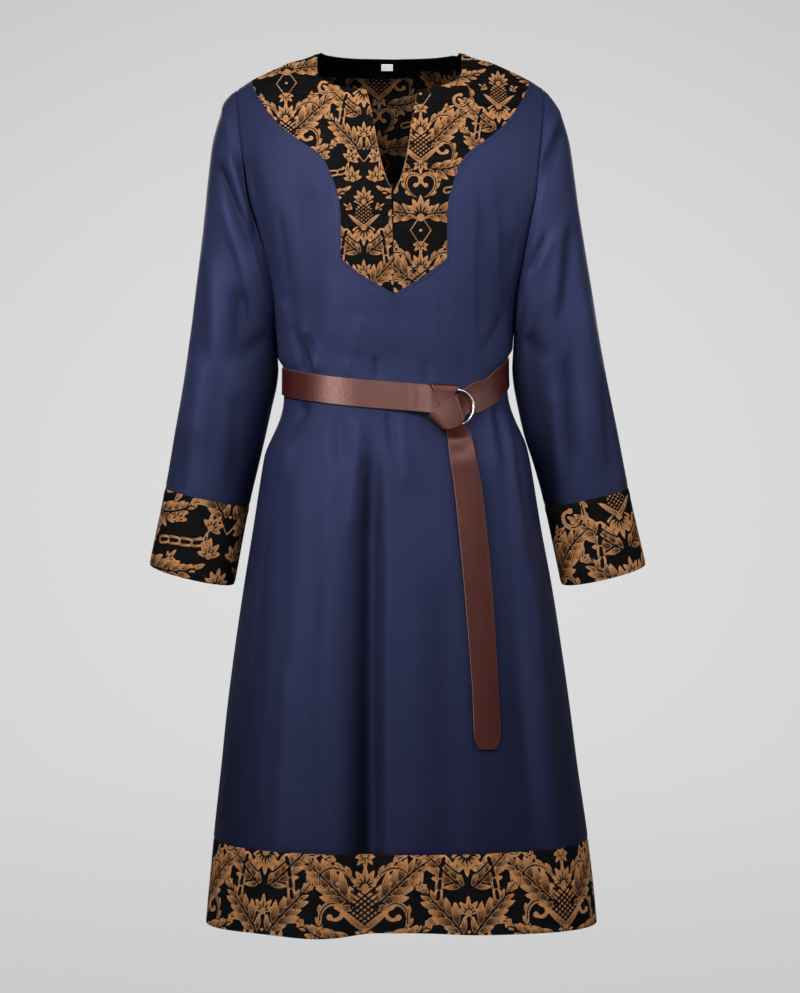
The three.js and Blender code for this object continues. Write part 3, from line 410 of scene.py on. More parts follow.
def satin_panel(face, outline, columns, rows_upper, rows_lower):
    """A panel as two half grids from the yoke's edge to the side, joined below its point: the
    columns lie closer near the edge, by the power 1.5. The cloth dips into its seams, and swells
    between the topstitching and the yoke."""
    upper = np.linspace(0, 1, rows_upper) ** 1.15
    down = np.concatenate([upper, 1 + np.linspace(0, 1, rows_lower)[1:]])
    tip_z = outline[-1, 1]
    t = np.linspace(0, 1, columns) ** 1.5
    halves, cuts = [], []
    for side in (-1, 1):
        edge = edge_across(face, outline, side, down, yoke_shift)
        middle_z = panel_point(face, 0.0, down, False)[:, 2]
        edge = np.where(middle_z <= tip_z - 0.3, 0.0, edge)
        cuts.append(middle_z > tip_z - 0.3)
        halves.append(edge[:, None] + (side - edge[:, None]) * t[None, :])
    across = np.concatenate([halves[0][:, ::-1], halves[1]], 1)
    points = panel_point(face, across, down[:, None])
    normals = np.concatenate([
        grid_normals(points[:, :columns], face == "front"),
        grid_normals(points[:, columns:], face == "front")], 1)
    below = ~cuts[0]
    mean = unit(normals[below, columns - 1] + normals[below, columns])
    normals[below, columns - 1] = normals[below, columns] = mean
    x, z = points[..., 0], points[..., 2]
    whole = np.concatenate([outline * [-1, 1], outline[::-1]])[2:-2]
    away = path_distance(whole, x - yoke_shift(z), z)
    raised = 0.8 * (1 - ease(away, TOPSTITCH_AWAY - 0.6, TOPSTITCH_AWAY + 0.6))
    raised -= 0.45 * bell(away - TOPSTITCH_AWAY - 0.2, 0.9)
    side_away = (1 - np.abs(across)) * SIDE_STRETCH
    raised += 0.3 * bell(side_away - 6, 3.5) - 0.6 * bell(side_away, 2.5)
    raised -= 0.7 * bell(z - hem_seam_height(across), 2.5)
    points = points + normals * raised[..., None]
    total = 2 * columns
    number = np.arange(len(down) * total).reshape(len(down), total)
    number[below, columns] = number[below, columns - 1]
    quads = np.concatenate([
        np.stack([half[:-1, :-1], half[:-1, 1:], half[1:, 1:], half[1:, :-1]], -1).reshape(-1, 4)
        for half in (number[:, :columns], number[:, columns:])])
    if face == "front":
        quads = quads[:, ::-1]
    wide = cloth_width(points)
    uv = cloth_uv(wide - wide[:, columns:columns + 1], -run_length(points[:, 5])[:, None])
    used = np.zeros(number.size, bool)
    used[quads.ravel()] = True
    renumber = np.cumsum(used) - 1
    # Painted shade: these fields darken the colour in the folds' troughs and at the seams, and make
    # it paler on the ridges, a painted highlight.
    rows = FRONT_FOLDS + FRONT_CREASES if face == "front" else BACK_FOLDS + BACK_CREASES
    painted_shade = np.clip(-crease_sum(rows, x, z) / PAINTED_SHADE_FULL, PAINTED_SHADE_LEAST, 1)
    fields = {"painted_seam_shade": bell(np.minimum(away, side_away), 2.2).ravel()[used],
              "painted_shade": painted_shade.ravel()[used]}
    return make_shell(
        f"{face}_panel_satin", points.reshape(-1, 3)[used], renumber[quads],
        normals.reshape(-1, 3)[used], SATIN_THICK, uv[used], fields)


class Finish:
    """A surface finish: one Principled material. Each method adds a node and gives its result."""

    def __init__(self, name):
        self.material = bpy.data.materials.new(name)
        self.material.use_nodes = True
        self.tree = self.material.node_tree

    def feed(self, node, inputs):
        """Each input of a node is linked to a result, or set to a value."""
        for key, value in inputs.items():
            if isinstance(value, bpy.types.NodeSocket):
                self.tree.links.new(value, node.inputs[key])
            else:
                node.inputs[key].default_value = value

    def surface(self, inputs):
        """What the surface itself is fed with."""
        self.feed(self.tree.nodes["Principled BSDF"], inputs)

    def add(self, kind, inputs, result=0, **settings):
        node = self.tree.nodes.new("ShaderNode" + kind)
        for key, value in settings.items():
            setattr(node, key, value)
        self.feed(node, inputs)
        return node.outputs[result]

    def cloth(self, scale=(1.0, 1.0, 1.0), turn=0.0):
        """Place on the flat cloth in metres, turned and multiplied."""
        flat = self.add("UVMap", {}, "UV", uv_map="cloth")
        return self.add("Mapping", {"Vector": flat, "Scale": scale, "Rotation": (0, 0, turn)})

    def place(self):
        return self.add("TexCoord", {}, "Object")

    def along(self, axis):
        return self.add("SeparateXYZ", {0: self.place()}, axis)

    def field(self, name):
        return self.add("Attribute", {}, "Fac", attribute_name=name)

    def noise(self, at, scale=1.0, detail=2.0, roughness=0.5):
        return self.add("TexNoise", {"Vector": at, "Scale": scale, "Detail": detail,
                                     "Roughness": roughness}, "Fac")

    def ramp(self, value, low, high, first, last):
        """Runs evenly from first to last while the value runs from low to high."""
        return self.add("MapRange", {0: value, 1: low, 2: high, 3: first, 4: last})

    def sum_of(self, value, factor, more):
        """Value * factor + more."""
        return self.add("Math", {0: value, 1: factor, 2: more}, operation="MULTIPLY_ADD")

    def mix(self, share, first, second):
        return self.add("Mix", {0: share, 6: first, 7: second}, 2, data_type="RGBA")

    def dim(self, colour, share):
        return self.add("VectorMath", {0: colour, "Scale": share}, operation="SCALE")

    def bump(self, height, strength, deep, under=None):
        """Surface raised by a height; under is a bump that this one lies on."""
        more = {} if under is None else {"Normal": under}
        return self.add("Bump", {"Height": height, "Strength": strength, "Distance": deep, **more})


def linear(red, green, blue):
    """Scene colour of a display colour given from 0 to 255."""
    c = np.array([red, green, blue]) / 255
    c = np.where(c <= 0.04045, c / 12.92, ((c + 0.055) / 1.055) ** 2.4)
    return (*[float(v) for v in c], 1.0)


# Navy satin: smooth warp floats along the length give a soft sheen; low waves and very fine
# threads are bump, and the colour is a little uneven, as dyed satin is.
satin = Finish("navy_satin")
weave = satin.noise(satin.cloth((260.0, 1800.0, 1.0)), detail=3.0)
slub = satin.noise(satin.cloth((12.0, 320.0, 1.0)))
cloud = satin.noise(satin.place(), 9.0, 3.0, 0.55)
rumple = satin.noise(satin.place(), 26.0)
tint = satin.mix(cloud, linear(43, 47, 78), linear(48, 53, 86))
lined = satin.dim(tint, satin.ramp(slub, 0.35, 0.65, 0.96, 1.03))
# Painted shade: the colour is darker in the folds and paler on their ridges, a painted highlight;
# darker towards the hem, at the shoulders (more on the key light's side), at the seams and on the
# sleeves' inner sides.
painted_skirt_shade = satin.ramp(satin.along("Z"), -0.3, -1.0, 1.0, 0.42)
slanted = satin.sum_of(satin.along("X"), -0.3, satin.along("Z"))
painted_shoulder_shade = satin.ramp(slanted, -0.2, -0.06, 1.0, 0.66)
shade = satin.add("Math", {0: painted_skirt_shade, 1: painted_shoulder_shade}, operation="MULTIPLY")
shade = satin.sum_of(satin.field("painted_shade"), -0.37, shade)
shade = satin.sum_of(satin.field("painted_seam_shade"), -0.12, shade)
threads = satin.bump(weave, 0.12, 0.0002)
satin.surface({
    "Base Color": satin.dim(lined, shade), "Roughness": satin.ramp(cloud, 0.3, 0.7, 0.5, 0.58),
    "Specular IOR Level": 0.35, "Specular Tint": linear(120, 128, 186),
    "Sheen Weight": 0.02, "Sheen Roughness": 0.5, "Sheen Tint": linear(110, 116, 180),
    "Normal": satin.bump(rumple, 0.22, 0.004, threads)})


def fit_piece(made, finish, slot, node=None, **sheet):
    """The finish, on a piece that rides the one body; the node of the solids that it stands for, if
    any, is hidden. The slot and the words about the cut cloth are not used."""
    made.data.materials.append(finish.material)
    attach(made, "root")
    if node:
        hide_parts(node)


fit_piece(satin_panel("front", YOKE_EDGE, 72, 130, 150), satin, "navy_satin", "front_panel",
          flat=(0.62, 1.03), held="hung", area=0.418,
          rests_on=["yoke_front_left", "yoke_front_right", "belt_strap"])
fit_piece(satin_panel("back", BACK_YOKE_EDGE, 62, 96, 128), satin, "navy_satin", "back_panel",
          flat=(0.62, 1.03), held="hung", area=0.430, rests_on=["yoke_back", "belt_strap"])


def cloth_at(face, x, z, creased=True):
    """Point of the upper cloth seen at x and z from the front: its place across is found by
    halving the range it can lie in."""
    x, z = np.broadcast_arrays(x, z)
    low, high = -np.ones(x.shape), np.ones(x.shape)
    top = shoulder_height(x - smooth_table(BODY, 4, z))
    share = np.clip((top - z) / (top - ARMPIT_Z), 0, 1)
    width_z = np.where(z < ARMPIT_Z, z, SHOULDER_TIP_Z + (ARMPIT_Z - SHOULDER_TIP_Z) * share)
    for _ in range(24):
        middle = (low + high) / 2
        less = body_surface(face, middle, width_z, z, False)[..., 0] < x
        low, high = np.where(less, middle, low), np.where(less, high, middle)
    return body_surface(face, (low + high) / 2, width_z, z, creased)


def stitch_row(name, path, face, pitch, long, fat, lift):
    """Row of stitches along a line of corners on the cloth: each is a flat four-sided spindle of
    six rings, with pointed ends, laid on the surface and lifted off it."""
    run = run_length(path)
    count = int(run[-1] / pitch)
    share = np.array([-0.5, -0.42, -0.15, 0.15, 0.42, 0.5]) * long
    at = (np.arange(count)[:, None] + 0.5) * pitch + share
    x, z = np.interp(at, run, path[:, 0]), np.interp(at, run, path[:, 1])
    middle = cloth_at(face, x, z)
    out = unit(np.cross(cloth_at(face, x + 0.5, z) - middle, cloth_at(face, x, z - 0.5) - middle))
    out *= np.where((out[..., 1:2] > 0) == (face == "back"), 1, -1)
    beside = np.cross(out, unit(np.gradient(middle, axis=1)))
    size = np.array([0.15, 0.8, 1, 1, 0.8, 0.15])[None, :, None, None] * fat / 2
    turn = np.arange(4) * np.pi / 2 + np.pi / 4
    rings = (middle + out * lift)[:, :, None] + size * (
        beside[:, :, None] * np.cos(turn)[:, None] + out[:, :, None] * 0.7 * np.sin(turn)[:, None])
    one = grid_quads(6, 4, True)
    ends = np.array([[3, 2, 1, 0], [20, 21, 22, 23]])
    quads = np.concatenate([one, ends]) + 24 * np.arange(count)[:, None, None]
    return make_mesh(name, rings.reshape(-1, 3), quads.reshape(-1, 4))


def beside_path(path, away):
    """The line of corners moved sideways by a distance, along the mean of its sides' normals."""
    step = np.diff(path, axis=0)
    normal = np.stack([-step[:, 1], step[:, 0]], 1) / np.hypot(*step.T)[:, None]
    mean = np.concatenate([normal[:1], (normal[1:] + normal[:-1]) / 2, normal[-1:]])
    return path + mean / np.sum(mean ** 2, axis=1, keepdims=True) * away


thread = Finish("navy_thread")
ply = thread.noise(thread.place(), 900.0)
thread.surface({"Base Color": thread.mix(ply, linear(28, 31, 54), linear(50, 55, 90)),
                "Roughness": 0.5, "Normal": thread.bump(ply, 0.4, 0.0002)})

STITCH_PITCH, STITCH_LONG, STITCH_FAT, STITCH_LIFT = 3.2, 2.3, 0.75, 0.25
STITCH_TOP_Z, STITCH_FROM_MIDDLE, STITCH_PATH = -50, 0.4, 300

# The rows run round the yoke from the shoulder to its point, one on each side.
for face, outline in (("front", YOKE_EDGE), ("back", BACK_YOKE_EDGE)):
    for side in (-1, 1):
        start = np.searchsorted(-outline[:, 1], -STITCH_TOP_Z)
        line = beside_path(outline[start:] * [side, 1], side * TOPSTITCH_AWAY)
        line = line[side * line[:, 0] > STITCH_FROM_MIDDLE]
        steps = np.linspace(0, len(line) - 1, STITCH_PATH)
        line = np.stack([np.interp(steps, np.arange(len(line)), line[:, k]) for k in (0, 1)], 1)
        line[:, 0] += yoke_shift(line[:, 1])
        made = stitch_row(f"topstitch_{face}_{'left' if side < 0 else 'right'}", line, face,
                          STITCH_PITCH, STITCH_LONG, STITCH_FAT, STITCH_LIFT)
        fit_piece(made, thread, "navy_satin")


# ---- sleeves ----
# Straight tubes of the same satin, set into the armholes and widening a little to the cuffs.
# They hang close to the body, with creases drawn from the armhole and at the elbow.

SLEEVE_POWER = 2.2
# ring, under-arm x and z, over-arm x and z, half depth, middle y, drop of front, tuck
SLEEVE = np.array([
    (-1, 156.5, -360, 220, -72, 62, 0, 0, 0), (-2, 156, -372, 231.5, -112, 63, 1, 0, 0),
    (-3, 155, -384, 238, -158, 62, 2, 0, 0), (-4, 153.5, -396, 243.5, -205, 61, 3, 0, 0),
    (-5, 152.5, -410, 250.5, -255, 59, 5, 0, 0), (-6, 155, -430, 258.5, -310, 57, 7, 0, 1),
    (-7, 162, -458, 266, -362, 55, 10, 1, 3), (-8, 170.5, -494, 276.5, -425, 52, 13, 2, 3.5),
    (-9, 180.5, -534, 289, -490, 49, 16, 3, 1), (-10, 192.7, -585, 302.2, -561, 46, 18, 4, 0),
    (-11, 213, -686, 324, -660, 47, 20, 7, 0)])
CUFF_SEAM = 10.0
CAP_FULLNESS = {"left": 5.0, "right": 1.5}  # how far the sleeve head stands out
UNDERARM_IN = {"left": (10.0, 2.5), "right": (1.0, 1.5)}  # towards the body: above, then at, ring 1
# Creases by arm and by side, -1 in front and 1 behind: x and z of both ends, width, depth.
SLEEVE_CREASES = {
    ("left", -1): [
        (-218, -225, -172, -440, 17, -4.0), (-226, -180, -176, -330, 8, 3.0),
        (-231, -134, -172, -272, 8, -6.5), (-199, -122, -168, -262, 7, -4.7),
        (-216, -120, -178, -250, 9, 4.7), (-236, -250, -232, -420, 9, 2.6),
        (-247, -250, -246, -420, 9, -2.6), (-196, -300, -206, -420, 14, -4.7),
        (-250, -380, -262, -520, 16, 4.3), (-226, -400, -236, -560, 12, -1.5),
        (-200, -430, -212, -575, 10, -2.5),
        (-268, -470, -281, -580, 7, -1.5), (-160, -362, -200, -400, 9, -2.5)],
    ("right", -1): [
        (178, -320, 206, -640, 13, -3.5), (232, -230, 250, -420, 12, 2.5),
        (222, -82, 188, -170, 7, -5.4), (208, -80, 182, -150, 8, 3.6),
        (198, -236, 170, -288, 6, -5.4), (212, -226, 180, -290, 9, 3.6),
        (228, -216, 213, -366, 7, -5.8), (214, -214, 204, -350, 8, 3.2),
        (244, -300, 258, -550, 14, 4.7), (222, -380, 236, -560, 11, -4.7),
        (206, -420, 222, -575, 9, 3.6), (268, -400, 284, -575, 8, -3.2),
        (166, -364, 204, -400, 9, -2.5)],
    ("left", 1): [
        (-226, -120, -172, -262, 9, -5.8), (-206, -110, -168, -226, 8, 4),
        (-240, -300, -214, -352, 7, -4.7), (-250, -330, -218, -388, 8, 4),
        (-220, -400, -238, -570, 12, -4.7), (-258, -420, -276, -572, 10, 4),
        (-240, -360, -200, -410, 6, -4)],
    ("right", 1): [
        (224, -118, 172, -258, 9, -5.4), (204, -108, 170, -224, 8, 4),
        (238, -290, 210, -346, 7, -4.7), (250, -336, 216, -392, 8, 4.3),
        (222, -410, 240, -574, 12, -4.3), (256, -410, 278, -572, 10, 4),
        (242, -366, 202, -414, 6, -4)]}


def armhole_point(side, angle):
    """Point of the armhole seam: down the front edge over half a turn, up the back edge over
    the other half, by share of the seam's length."""
    share = np.linspace(0, 1, 200) ** 1.6
    front = upper_point("front", side, share, False)
    back = upper_point("back", side, share, False)[::-1]

    def along(line, t):
        long = run_length(line)
        return np.stack([np.interp(t * long[-1], long, line[:, k]) for k in range(3)], -1)

    angle = np.mod(angle, 2 * np.pi)
    first = along(front, np.clip(angle / np.pi, 0, 1))
    second = along(back, np.clip(angle / np.pi - 1, 0, 1))
    return np.where((angle <= np.pi)[..., None], first, second)


def sleeve_point(name, angle, ring):
    """Sleeve: superellipse rings between an under-arm and an over-arm point, blended to the
    armhole seam over the first ring, where the head is full and the under-arm lies inwards."""
    side = -1 if name == "left" else 1
    angle, ring = np.broadcast_arrays(angle, ring)
    row = -np.maximum(ring, 1)
    in_x, in_z, out_x, out_z, deep, mid_y, drop, tuck = (
        smooth_table(SLEEVE, k, row) for k in range(1, 9))
    above, at_ring = UNDERARM_IN[name]
    in_x = in_x - (tuck if side > 0 else 0) - at_ring * ease(-ring, -6, -2)
    up = signed_power(np.cos(angle), 2 / SLEEVE_POWER)
    ahead = signed_power(np.sin(angle), 2 / SLEEVE_POWER)
    z = (in_z + out_z) / 2 + (out_z - in_z) / 2 * up - drop * ahead
    x = side * ((in_x + out_x) / 2 + (out_x - in_x) / 2 * up) + smooth_table(BODY, 4, z)
    point = np.stack([x, mid_y - deep * ahead, z], -1)
    seam = armhole_point(side, angle)
    seam[..., 0] += side * 0.05
    t = np.clip(ring, 0, 1)
    cap = CAP_FULLNESS[name] * 4 * t * (1 - t) * np.maximum(np.cos(angle), 0)
    under = above * ease(t, 0, 0.06) * (1 - t) * np.maximum(-np.cos(angle), 0)
    point = seam + (point - seam) * t[..., None]
    point[..., 0] += side * (cap - under)
    return point


def arm_tube(arm, ring_from, ring_to, rows, columns, creased):
    """Points, faces, normals, cloth places and the satin's fields of a sleeve or a cuff: rings
    round the arm, creased, and pulled in a little at the seams of both ends."""
    side = -1 if arm == "left" else 1
    angle = np.linspace(0, 2 * np.pi, columns, endpoint=False)
    ring = np.linspace(ring_from, ring_to, rows)
    if ring_from < 1:  # the long under-arm stretch of the first ring takes a third of the rows
        ring = np.concatenate([np.linspace(ring_from, 1, rows // 3)[:-1],
                               np.linspace(1, ring_to, rows - rows // 3 + 1)])
    points = sleeve_point(arm, angle[None, :], ring[:, None])
    normals = grid_normals(points, side < 0, True)
    folded = np.zeros(points.shape[:2])
    for sign in (-1, 1) if creased else ():
        show = ease(sign * -np.sin(angle), 0.05, 0.55)
        folded += crease_sum(SLEEVE_CREASES[(arm, sign)], points[..., 0], points[..., 2]) * show
    long = run_length(points[:, 0])[:, None]
    seams = 0.4 * bell(long - 7, 4.0) - 0.5 * bell(long, 2.5) - 0.7 * bell(long[-1] - long, 2.5)
    move = (folded + seams) * np.maximum(ease(long, 0, 6), 0.35)
    points = points + normals * move[..., None]
    # Painted shade: the sleeve's inner side, towards the body, and its creases' troughs are darker
    # in colour; ridges are paler, a painted highlight.
    inner_side_shade = 1.4 * ease(-np.cos(angle), -0.05, 0.9) * ease(ring, 0.4, 2.5)[:, None]
    painted_shade = np.clip(np.clip(-folded / 5, PAINTED_SHADE_LEAST, 1.2) + inner_side_shade, PAINTED_SHADE_LEAST, 1.7)
    fields = {"painted_seam_shade": bell(long, 2.2) + np.zeros(columns), "painted_shade": painted_shade}
    quads = grid_quads(rows, columns, True, side < 0)
    return points, quads, normals, cloth_uv(cloth_width(points), -long), fields


SLEEVE_ROWS, SLEEVE_COLUMNS = 132, 96
for arm in ("left", "right"):
    points, quads, normals, uv, fields = arm_tube(
        arm, 0.0, CUFF_SEAM, SLEEVE_ROWS, SLEEVE_COLUMNS, True)
    sleeve = make_shell(f"sleeve_{arm}_satin", points, quads, normals, SATIN_THICK, uv, fields)
    fit_piece(sleeve, satin, "navy_satin", f"sleeve_{arm}", flat=(0.48, 0.56), held="hung",
              rests_on=["front_panel", "back_panel"], area=0.136)


# ---- woven pattern of the brocade ----
# A mirrored repeat of leaf plumes, scrolls, flowers, cones, diamonds and chains, woven in gold
# on black. Each motif is made of tapered strokes, and a stroke is a row: x and y of both ends,
# half widths, tones, and the layer, where layer 1 is cut out of layer 0 and layer 2 lies on top.

REPEAT_WIDE = 100.0
REPEAT_TALL = 176.0
PLAIN_DEPTH = -3.0  # depth inside the gold, in ground well away from it


def stroke(x, y, heading, length, turns, widths, tones, layer, steps=8):
    """Tapered stroke whose heading turns at a rate that changes evenly from the first to the
    second of turns; its half width is the parabola through three widths."""
    t = np.linspace(0, 1, steps + 1)
    way = np.radians(heading + turns[0] * t + (turns[1] - turns[0]) * t * t / 2)
    mid = (way[1:] + way[:-1]) / 2
    px = x + np.concatenate([[0], np.cumsum(np.cos(mid))]) * length / steps
    py = y + np.concatenate([[0], np.cumsum(np.sin(mid))]) * length / steps
    start, middle, end = widths
    wide = start * (1 - t) * (1 - 2 * t) + 4 * middle * t * (1 - t) + end * t * (2 * t - 1)
    tone = tones[0] + (tones[1] - tones[0]) * t
    rows = [px[:-1], py[:-1], px[1:], py[1:], wide[:-1], wide[1:], tone[:-1], tone[1:],
            np.full(steps, float(layer))]
    return np.stack(rows, 1), (px, py, np.degrees(way))


def leaf(x, y, heading, length, turns, pairs, lobe, spread, layer=0, curl=30):
    """Plume: a thin midrib with pointed lobes on both sides, longest low down."""
    rib, (px, py, way) = stroke(x, y, heading, length, turns, (0.7, 0.8, 0.4), (0.2, 0.6),
                                layer + 1, 14)
    made = [rib]
    at = np.linspace(0, 1, len(px))
    for k in range(pairs):
        t = (k + 0.4) / pairs
        swell = 0.55 + 1.25 * math.sin(math.pi * min(1, t * 0.7 + 0.2)) ** 1.3
        size = lobe * swell * (1 - 0.45 * t) * (0.93 + 0.14 * (k % 2))
        for side in (-1, 1):
            q = min(1, t + 0.02 * side)
            go = np.interp(q, at, way) + side * spread * (1.05 - 0.45 * t)
            made.append(stroke(np.interp(q, at, px), np.interp(q, at, py), go, size,
                               (-side * curl, -side * curl * 0.2), (0.09 * size, 0.17 * size, 0.15),
                               (-0.5, 1.3), layer, 5)[0])
    made.append(stroke(px[-1], py[-1], way[-1], lobe * 0.75, (0, 0),
                       (0.08 * lobe, 0.17 * lobe, 0.1), (0.4, 1), layer, 4)[0])
    return np.concatenate(made)


def scroll(x, y, heading, length, turns, width, leaflets, side):
    """Stem that winds up tighter and tighter to a bead, grooved, with leaflets on its back."""
    body, (px, py, way) = stroke(x, y, heading, length, turns, (width * 0.5, width, width * 0.55),
                                 (0.3, 0.9), 0, 26)
    middle = turns[0] * 0.8 + (turns[1] - turns[0]) * 0.64
    made = [body,
            stroke(px[-1], py[-1], way[-1], 0.5, (0, 0), (width * 1.15,) * 3, (0.9, 0.9), 0, 1)[0],
            stroke(x, y, heading, length * 0.8, (turns[0] * 0.8, middle),
                   (0.05, width * 0.22, 0.05), (0, 0), 1, 20)[0]]
    at = np.linspace(0, 1, len(px))
    for k in range(leaflets):
        t = 0.1 + 0.5 * k / leaflets
        go = np.interp(t, at, way) - side * 38
        made.append(stroke(np.interp(t, at, px), np.interp(t, at, py), go, width * 4.2,
                           (side * 62, side * 20), (width * 0.5, width * 0.8, 0.1), (0.2, 1),
                           0, 6)[0])
    return np.concatenate(made)


def flower(x, y, heading, size, petals, fan=150.0):
    """Fan of pointed petals, each with a cut vein, on a round base."""
    made = []
    for k in range(petals):
        q = k / (petals - 1) - 0.5
        long = size * (1 - 0.7 * abs(q))
        made.append(stroke(x, y, heading + q * fan, long, (-q * 50, q * 120),
                           (size * 0.05, size * 0.15, 0.15), (-0.4, 1.3), 0, 6)[0])
        made.append(stroke(x, y, heading + q * fan, long * 0.62, (-q * 50, q * 60),
                           (0.3, size * 0.035, 0.1), (0, 0), 1, 5)[0])
    made.append(stroke(x, y, heading, 0.5, (0, 0), (size * 0.16,) * 3, (0.7, 0.7), 2, 1)[0])
    return np.concatenate(made)


def beads(x, y, heading, length, turns, links, size):
    """Chain of pierced ovals that touch end to end."""
    _, (px, py, way) = stroke(x, y, heading, length, turns, (1, 1, 1), (1, 1), 0, 24)
    made = []
    at = np.linspace(0, 1, 25)
    half = length / links * 0.28
    for k in range(links):
        t = (k + 0.5) / links
        w = math.radians(np.interp(t, at, way))
        bx, by = np.interp(t, at, px), np.interp(t, at, py)
        ends = [bx - half * math.cos(w), by - half * math.sin(w), bx + half * math.cos(w),
                by + half * math.sin(w)]
        made.append(np.array([ends + [size, size * 0.9, 0.1, 1.2, 0],
                              ends + [size * 0.42, size * 0.36, 0, 0, 1]]))
    return np.concatenate(made)


def cone(x, y, size):
    """Upright cone, its body cut by a lattice of slanting lines, in a cup of two leaves."""
    made = [stroke(x, y, 90, size, (0, 0), (size * 0.1, size * 0.42, 0.3), (0.1, 1.0), 0, 10)[0]]
    for k in range(6):
        for slant in (38, 142):
            beside = size * 0.4 * (1 if slant < 90 else -1)
            made.append(stroke(x - beside, y + size * (0.16 * k - 0.22), slant, size, (0, 0),
                               (size * 0.022,) * 3, (0, 0), 1, 1)[0])
    for side in (-1, 1):
        made.append(stroke(x, y - 1, 90 - side * 70, size * 0.95, (side * 95, -side * 90),
                           (size * 0.05, size * 0.09, 0.2), (0.1, 1.2), 2, 8)[0])
    return np.concatenate(made)


def frame_lines(x, y, wide, tall, thin):
    """Open diamond of thin cords with a bead in the middle."""
    made = [stroke(x, y, 0, 0.5, (0, 0), (thin * 2.2,) * 3, (1, 1), 0, 1)[0]]
    for sx in (-1, 1):
        for sy in (-1, 1):
            heading = math.degrees(math.atan2(sy * tall, -sx * wide))
            made.append(stroke(x + sx * wide, y, heading, math.hypot(wide, tall),
                               (-20 * sx * sy, 40 * sx * sy), (thin,) * 3, (0.9, 1.1), 0, 5)[0])
    return np.concatenate(made)


MOTIFS = np.concatenate([
    cone(0, 22, 34),
    flower(0, 60, 90, 22, 7, 170.0),
    flower(0, 20, -90, 18, 5, 150.0),
    leaf(8, 40, 40, 74, (30, -60), 7, 17, 50),
    leaf(9, 12, -18, 54, (70, 40), 6, 13, 52),
    scroll(10, 66, 60, 74, (-90, -560), 2.9, 4, -1),
    scroll(38, 18, 60, 66, (80, 620), 2.6, 3, 1),
    frame_lines(0, 108, 13, 18, 0.8),
    flower(0, 124, 90, 30, 7, 140.0),
    flower(0, 92, -90, 16, 5, 150.0),
    leaf(7, 128, 12, 70, (-50, 90), 7, 15, 50),
    scroll(6, 150, 30, 62, (60, 580), 2.6, 3, 1),
    scroll(60, 122, -60, 66, (-60, -560), 2.6, 3, -1),
    cone(100, 96, 28),
    flower(100, 126, 90, 20, 7, 180.0),
    flower(100, 94, -90, 24, 7, 150.0),
    leaf(97, 60, 150, 56, (-60, 50), 6, 14, 50),
    leaf(95, 14, 120, 60, (50, -40), 6, 15, 50),
    frame_lines(100, 18, 12, 17, 0.8),
    flower(100, 36, 90, 18, 5, 150.0),
    beads(70, 48, 75, 44, (40, -60), 4, 4.6),
    beads(30, 158, 20, 50, (-60, 60), 4, 4.6),
    flower(52, 60, 70, 15, 3, 90.0), flower(30, 88, 20, 14, 3, 90.0),
    flower(62, 100, 200, 14, 3, 90.0), flower(46, 142, 60, 14, 3, 90.0),
    flower(78, 164, 80, 14, 3, 90.0), flower(47, 6, 90, 17, 5, 160.0),
    flower(86, 154, 95, 19, 5, 150.0), flower(82, 4, 60, 18, 5, 150.0),
    leaf(92, 74, 150, 22, (-40, 20), 3, 8, 50), leaf(44, 118, 60, 24, (40, 20), 3, 8, 50),
    flower(60, 28, -10, 13, 3, 90.0), flower(24, 172, 100, 12, 3, 90.0),
    flower(84, 118, 150, 12, 3, 90.0)])


def woven_pattern(u, v):
    """Depth inside the gold (mm, negative in the ground) and its tone, at places on the flat
    cloth: the repeat is mirrored across and repeated along; each stroke's depth is its half
    width less the distance to its middle line, and the deepest stroke gives the tone."""
    u = np.abs((np.ravel(u) + REPEAT_WIDE) % (2 * REPEAT_WIDE) - REPEAT_WIDE)
    v = np.ravel(v) % REPEAT_TALL
    depth, tone = np.full(u.shape, -9.0), np.zeros(u.shape)
    for layer in (0, 1, 2):
        best, best_tone = np.full(u.shape, -9.0), np.zeros(u.shape)
        for x0, y0, x1, y1, r0, r1, t0, t1, _ in MOTIFS[MOTIFS[:, 8] == layer]:
            for lift in (-REPEAT_TALL, 0.0, REPEAT_TALL):
                reach = max(r0, r1) + 3
                if max(y0, y1) + lift + reach < 0 or min(y0, y1) + lift - reach > REPEAT_TALL:
                    continue
                near = np.flatnonzero(
                    (u > min(x0, x1) - reach) & (u < max(x0, x1) + reach)
                    & (v > min(y0, y1) + lift - reach) & (v < max(y0, y1) + lift + reach))
                dx, dy = x1 - x0, y1 - y0
                across, up = u[near] - x0, v[near] - y0 - lift
                k = np.clip((across * dx + up * dy) / (dx * dx + dy * dy), 0, 1)
                d = r0 + (r1 - r0) * k - np.hypot(across - k * dx, up - k * dy)
                more = d > best[near]
                best[near[more]] = d[more]
                best_tone[near[more]] = (t0 + (t1 - t0) * k)[more]
        if layer == 1:
            depth = np.minimum(depth, -best)
        else:
            tone = np.where(best > depth, best_tone, tone)
            depth = np.maximum(best, depth)
    return np.maximum(depth, PLAIN_DEPTH), tone


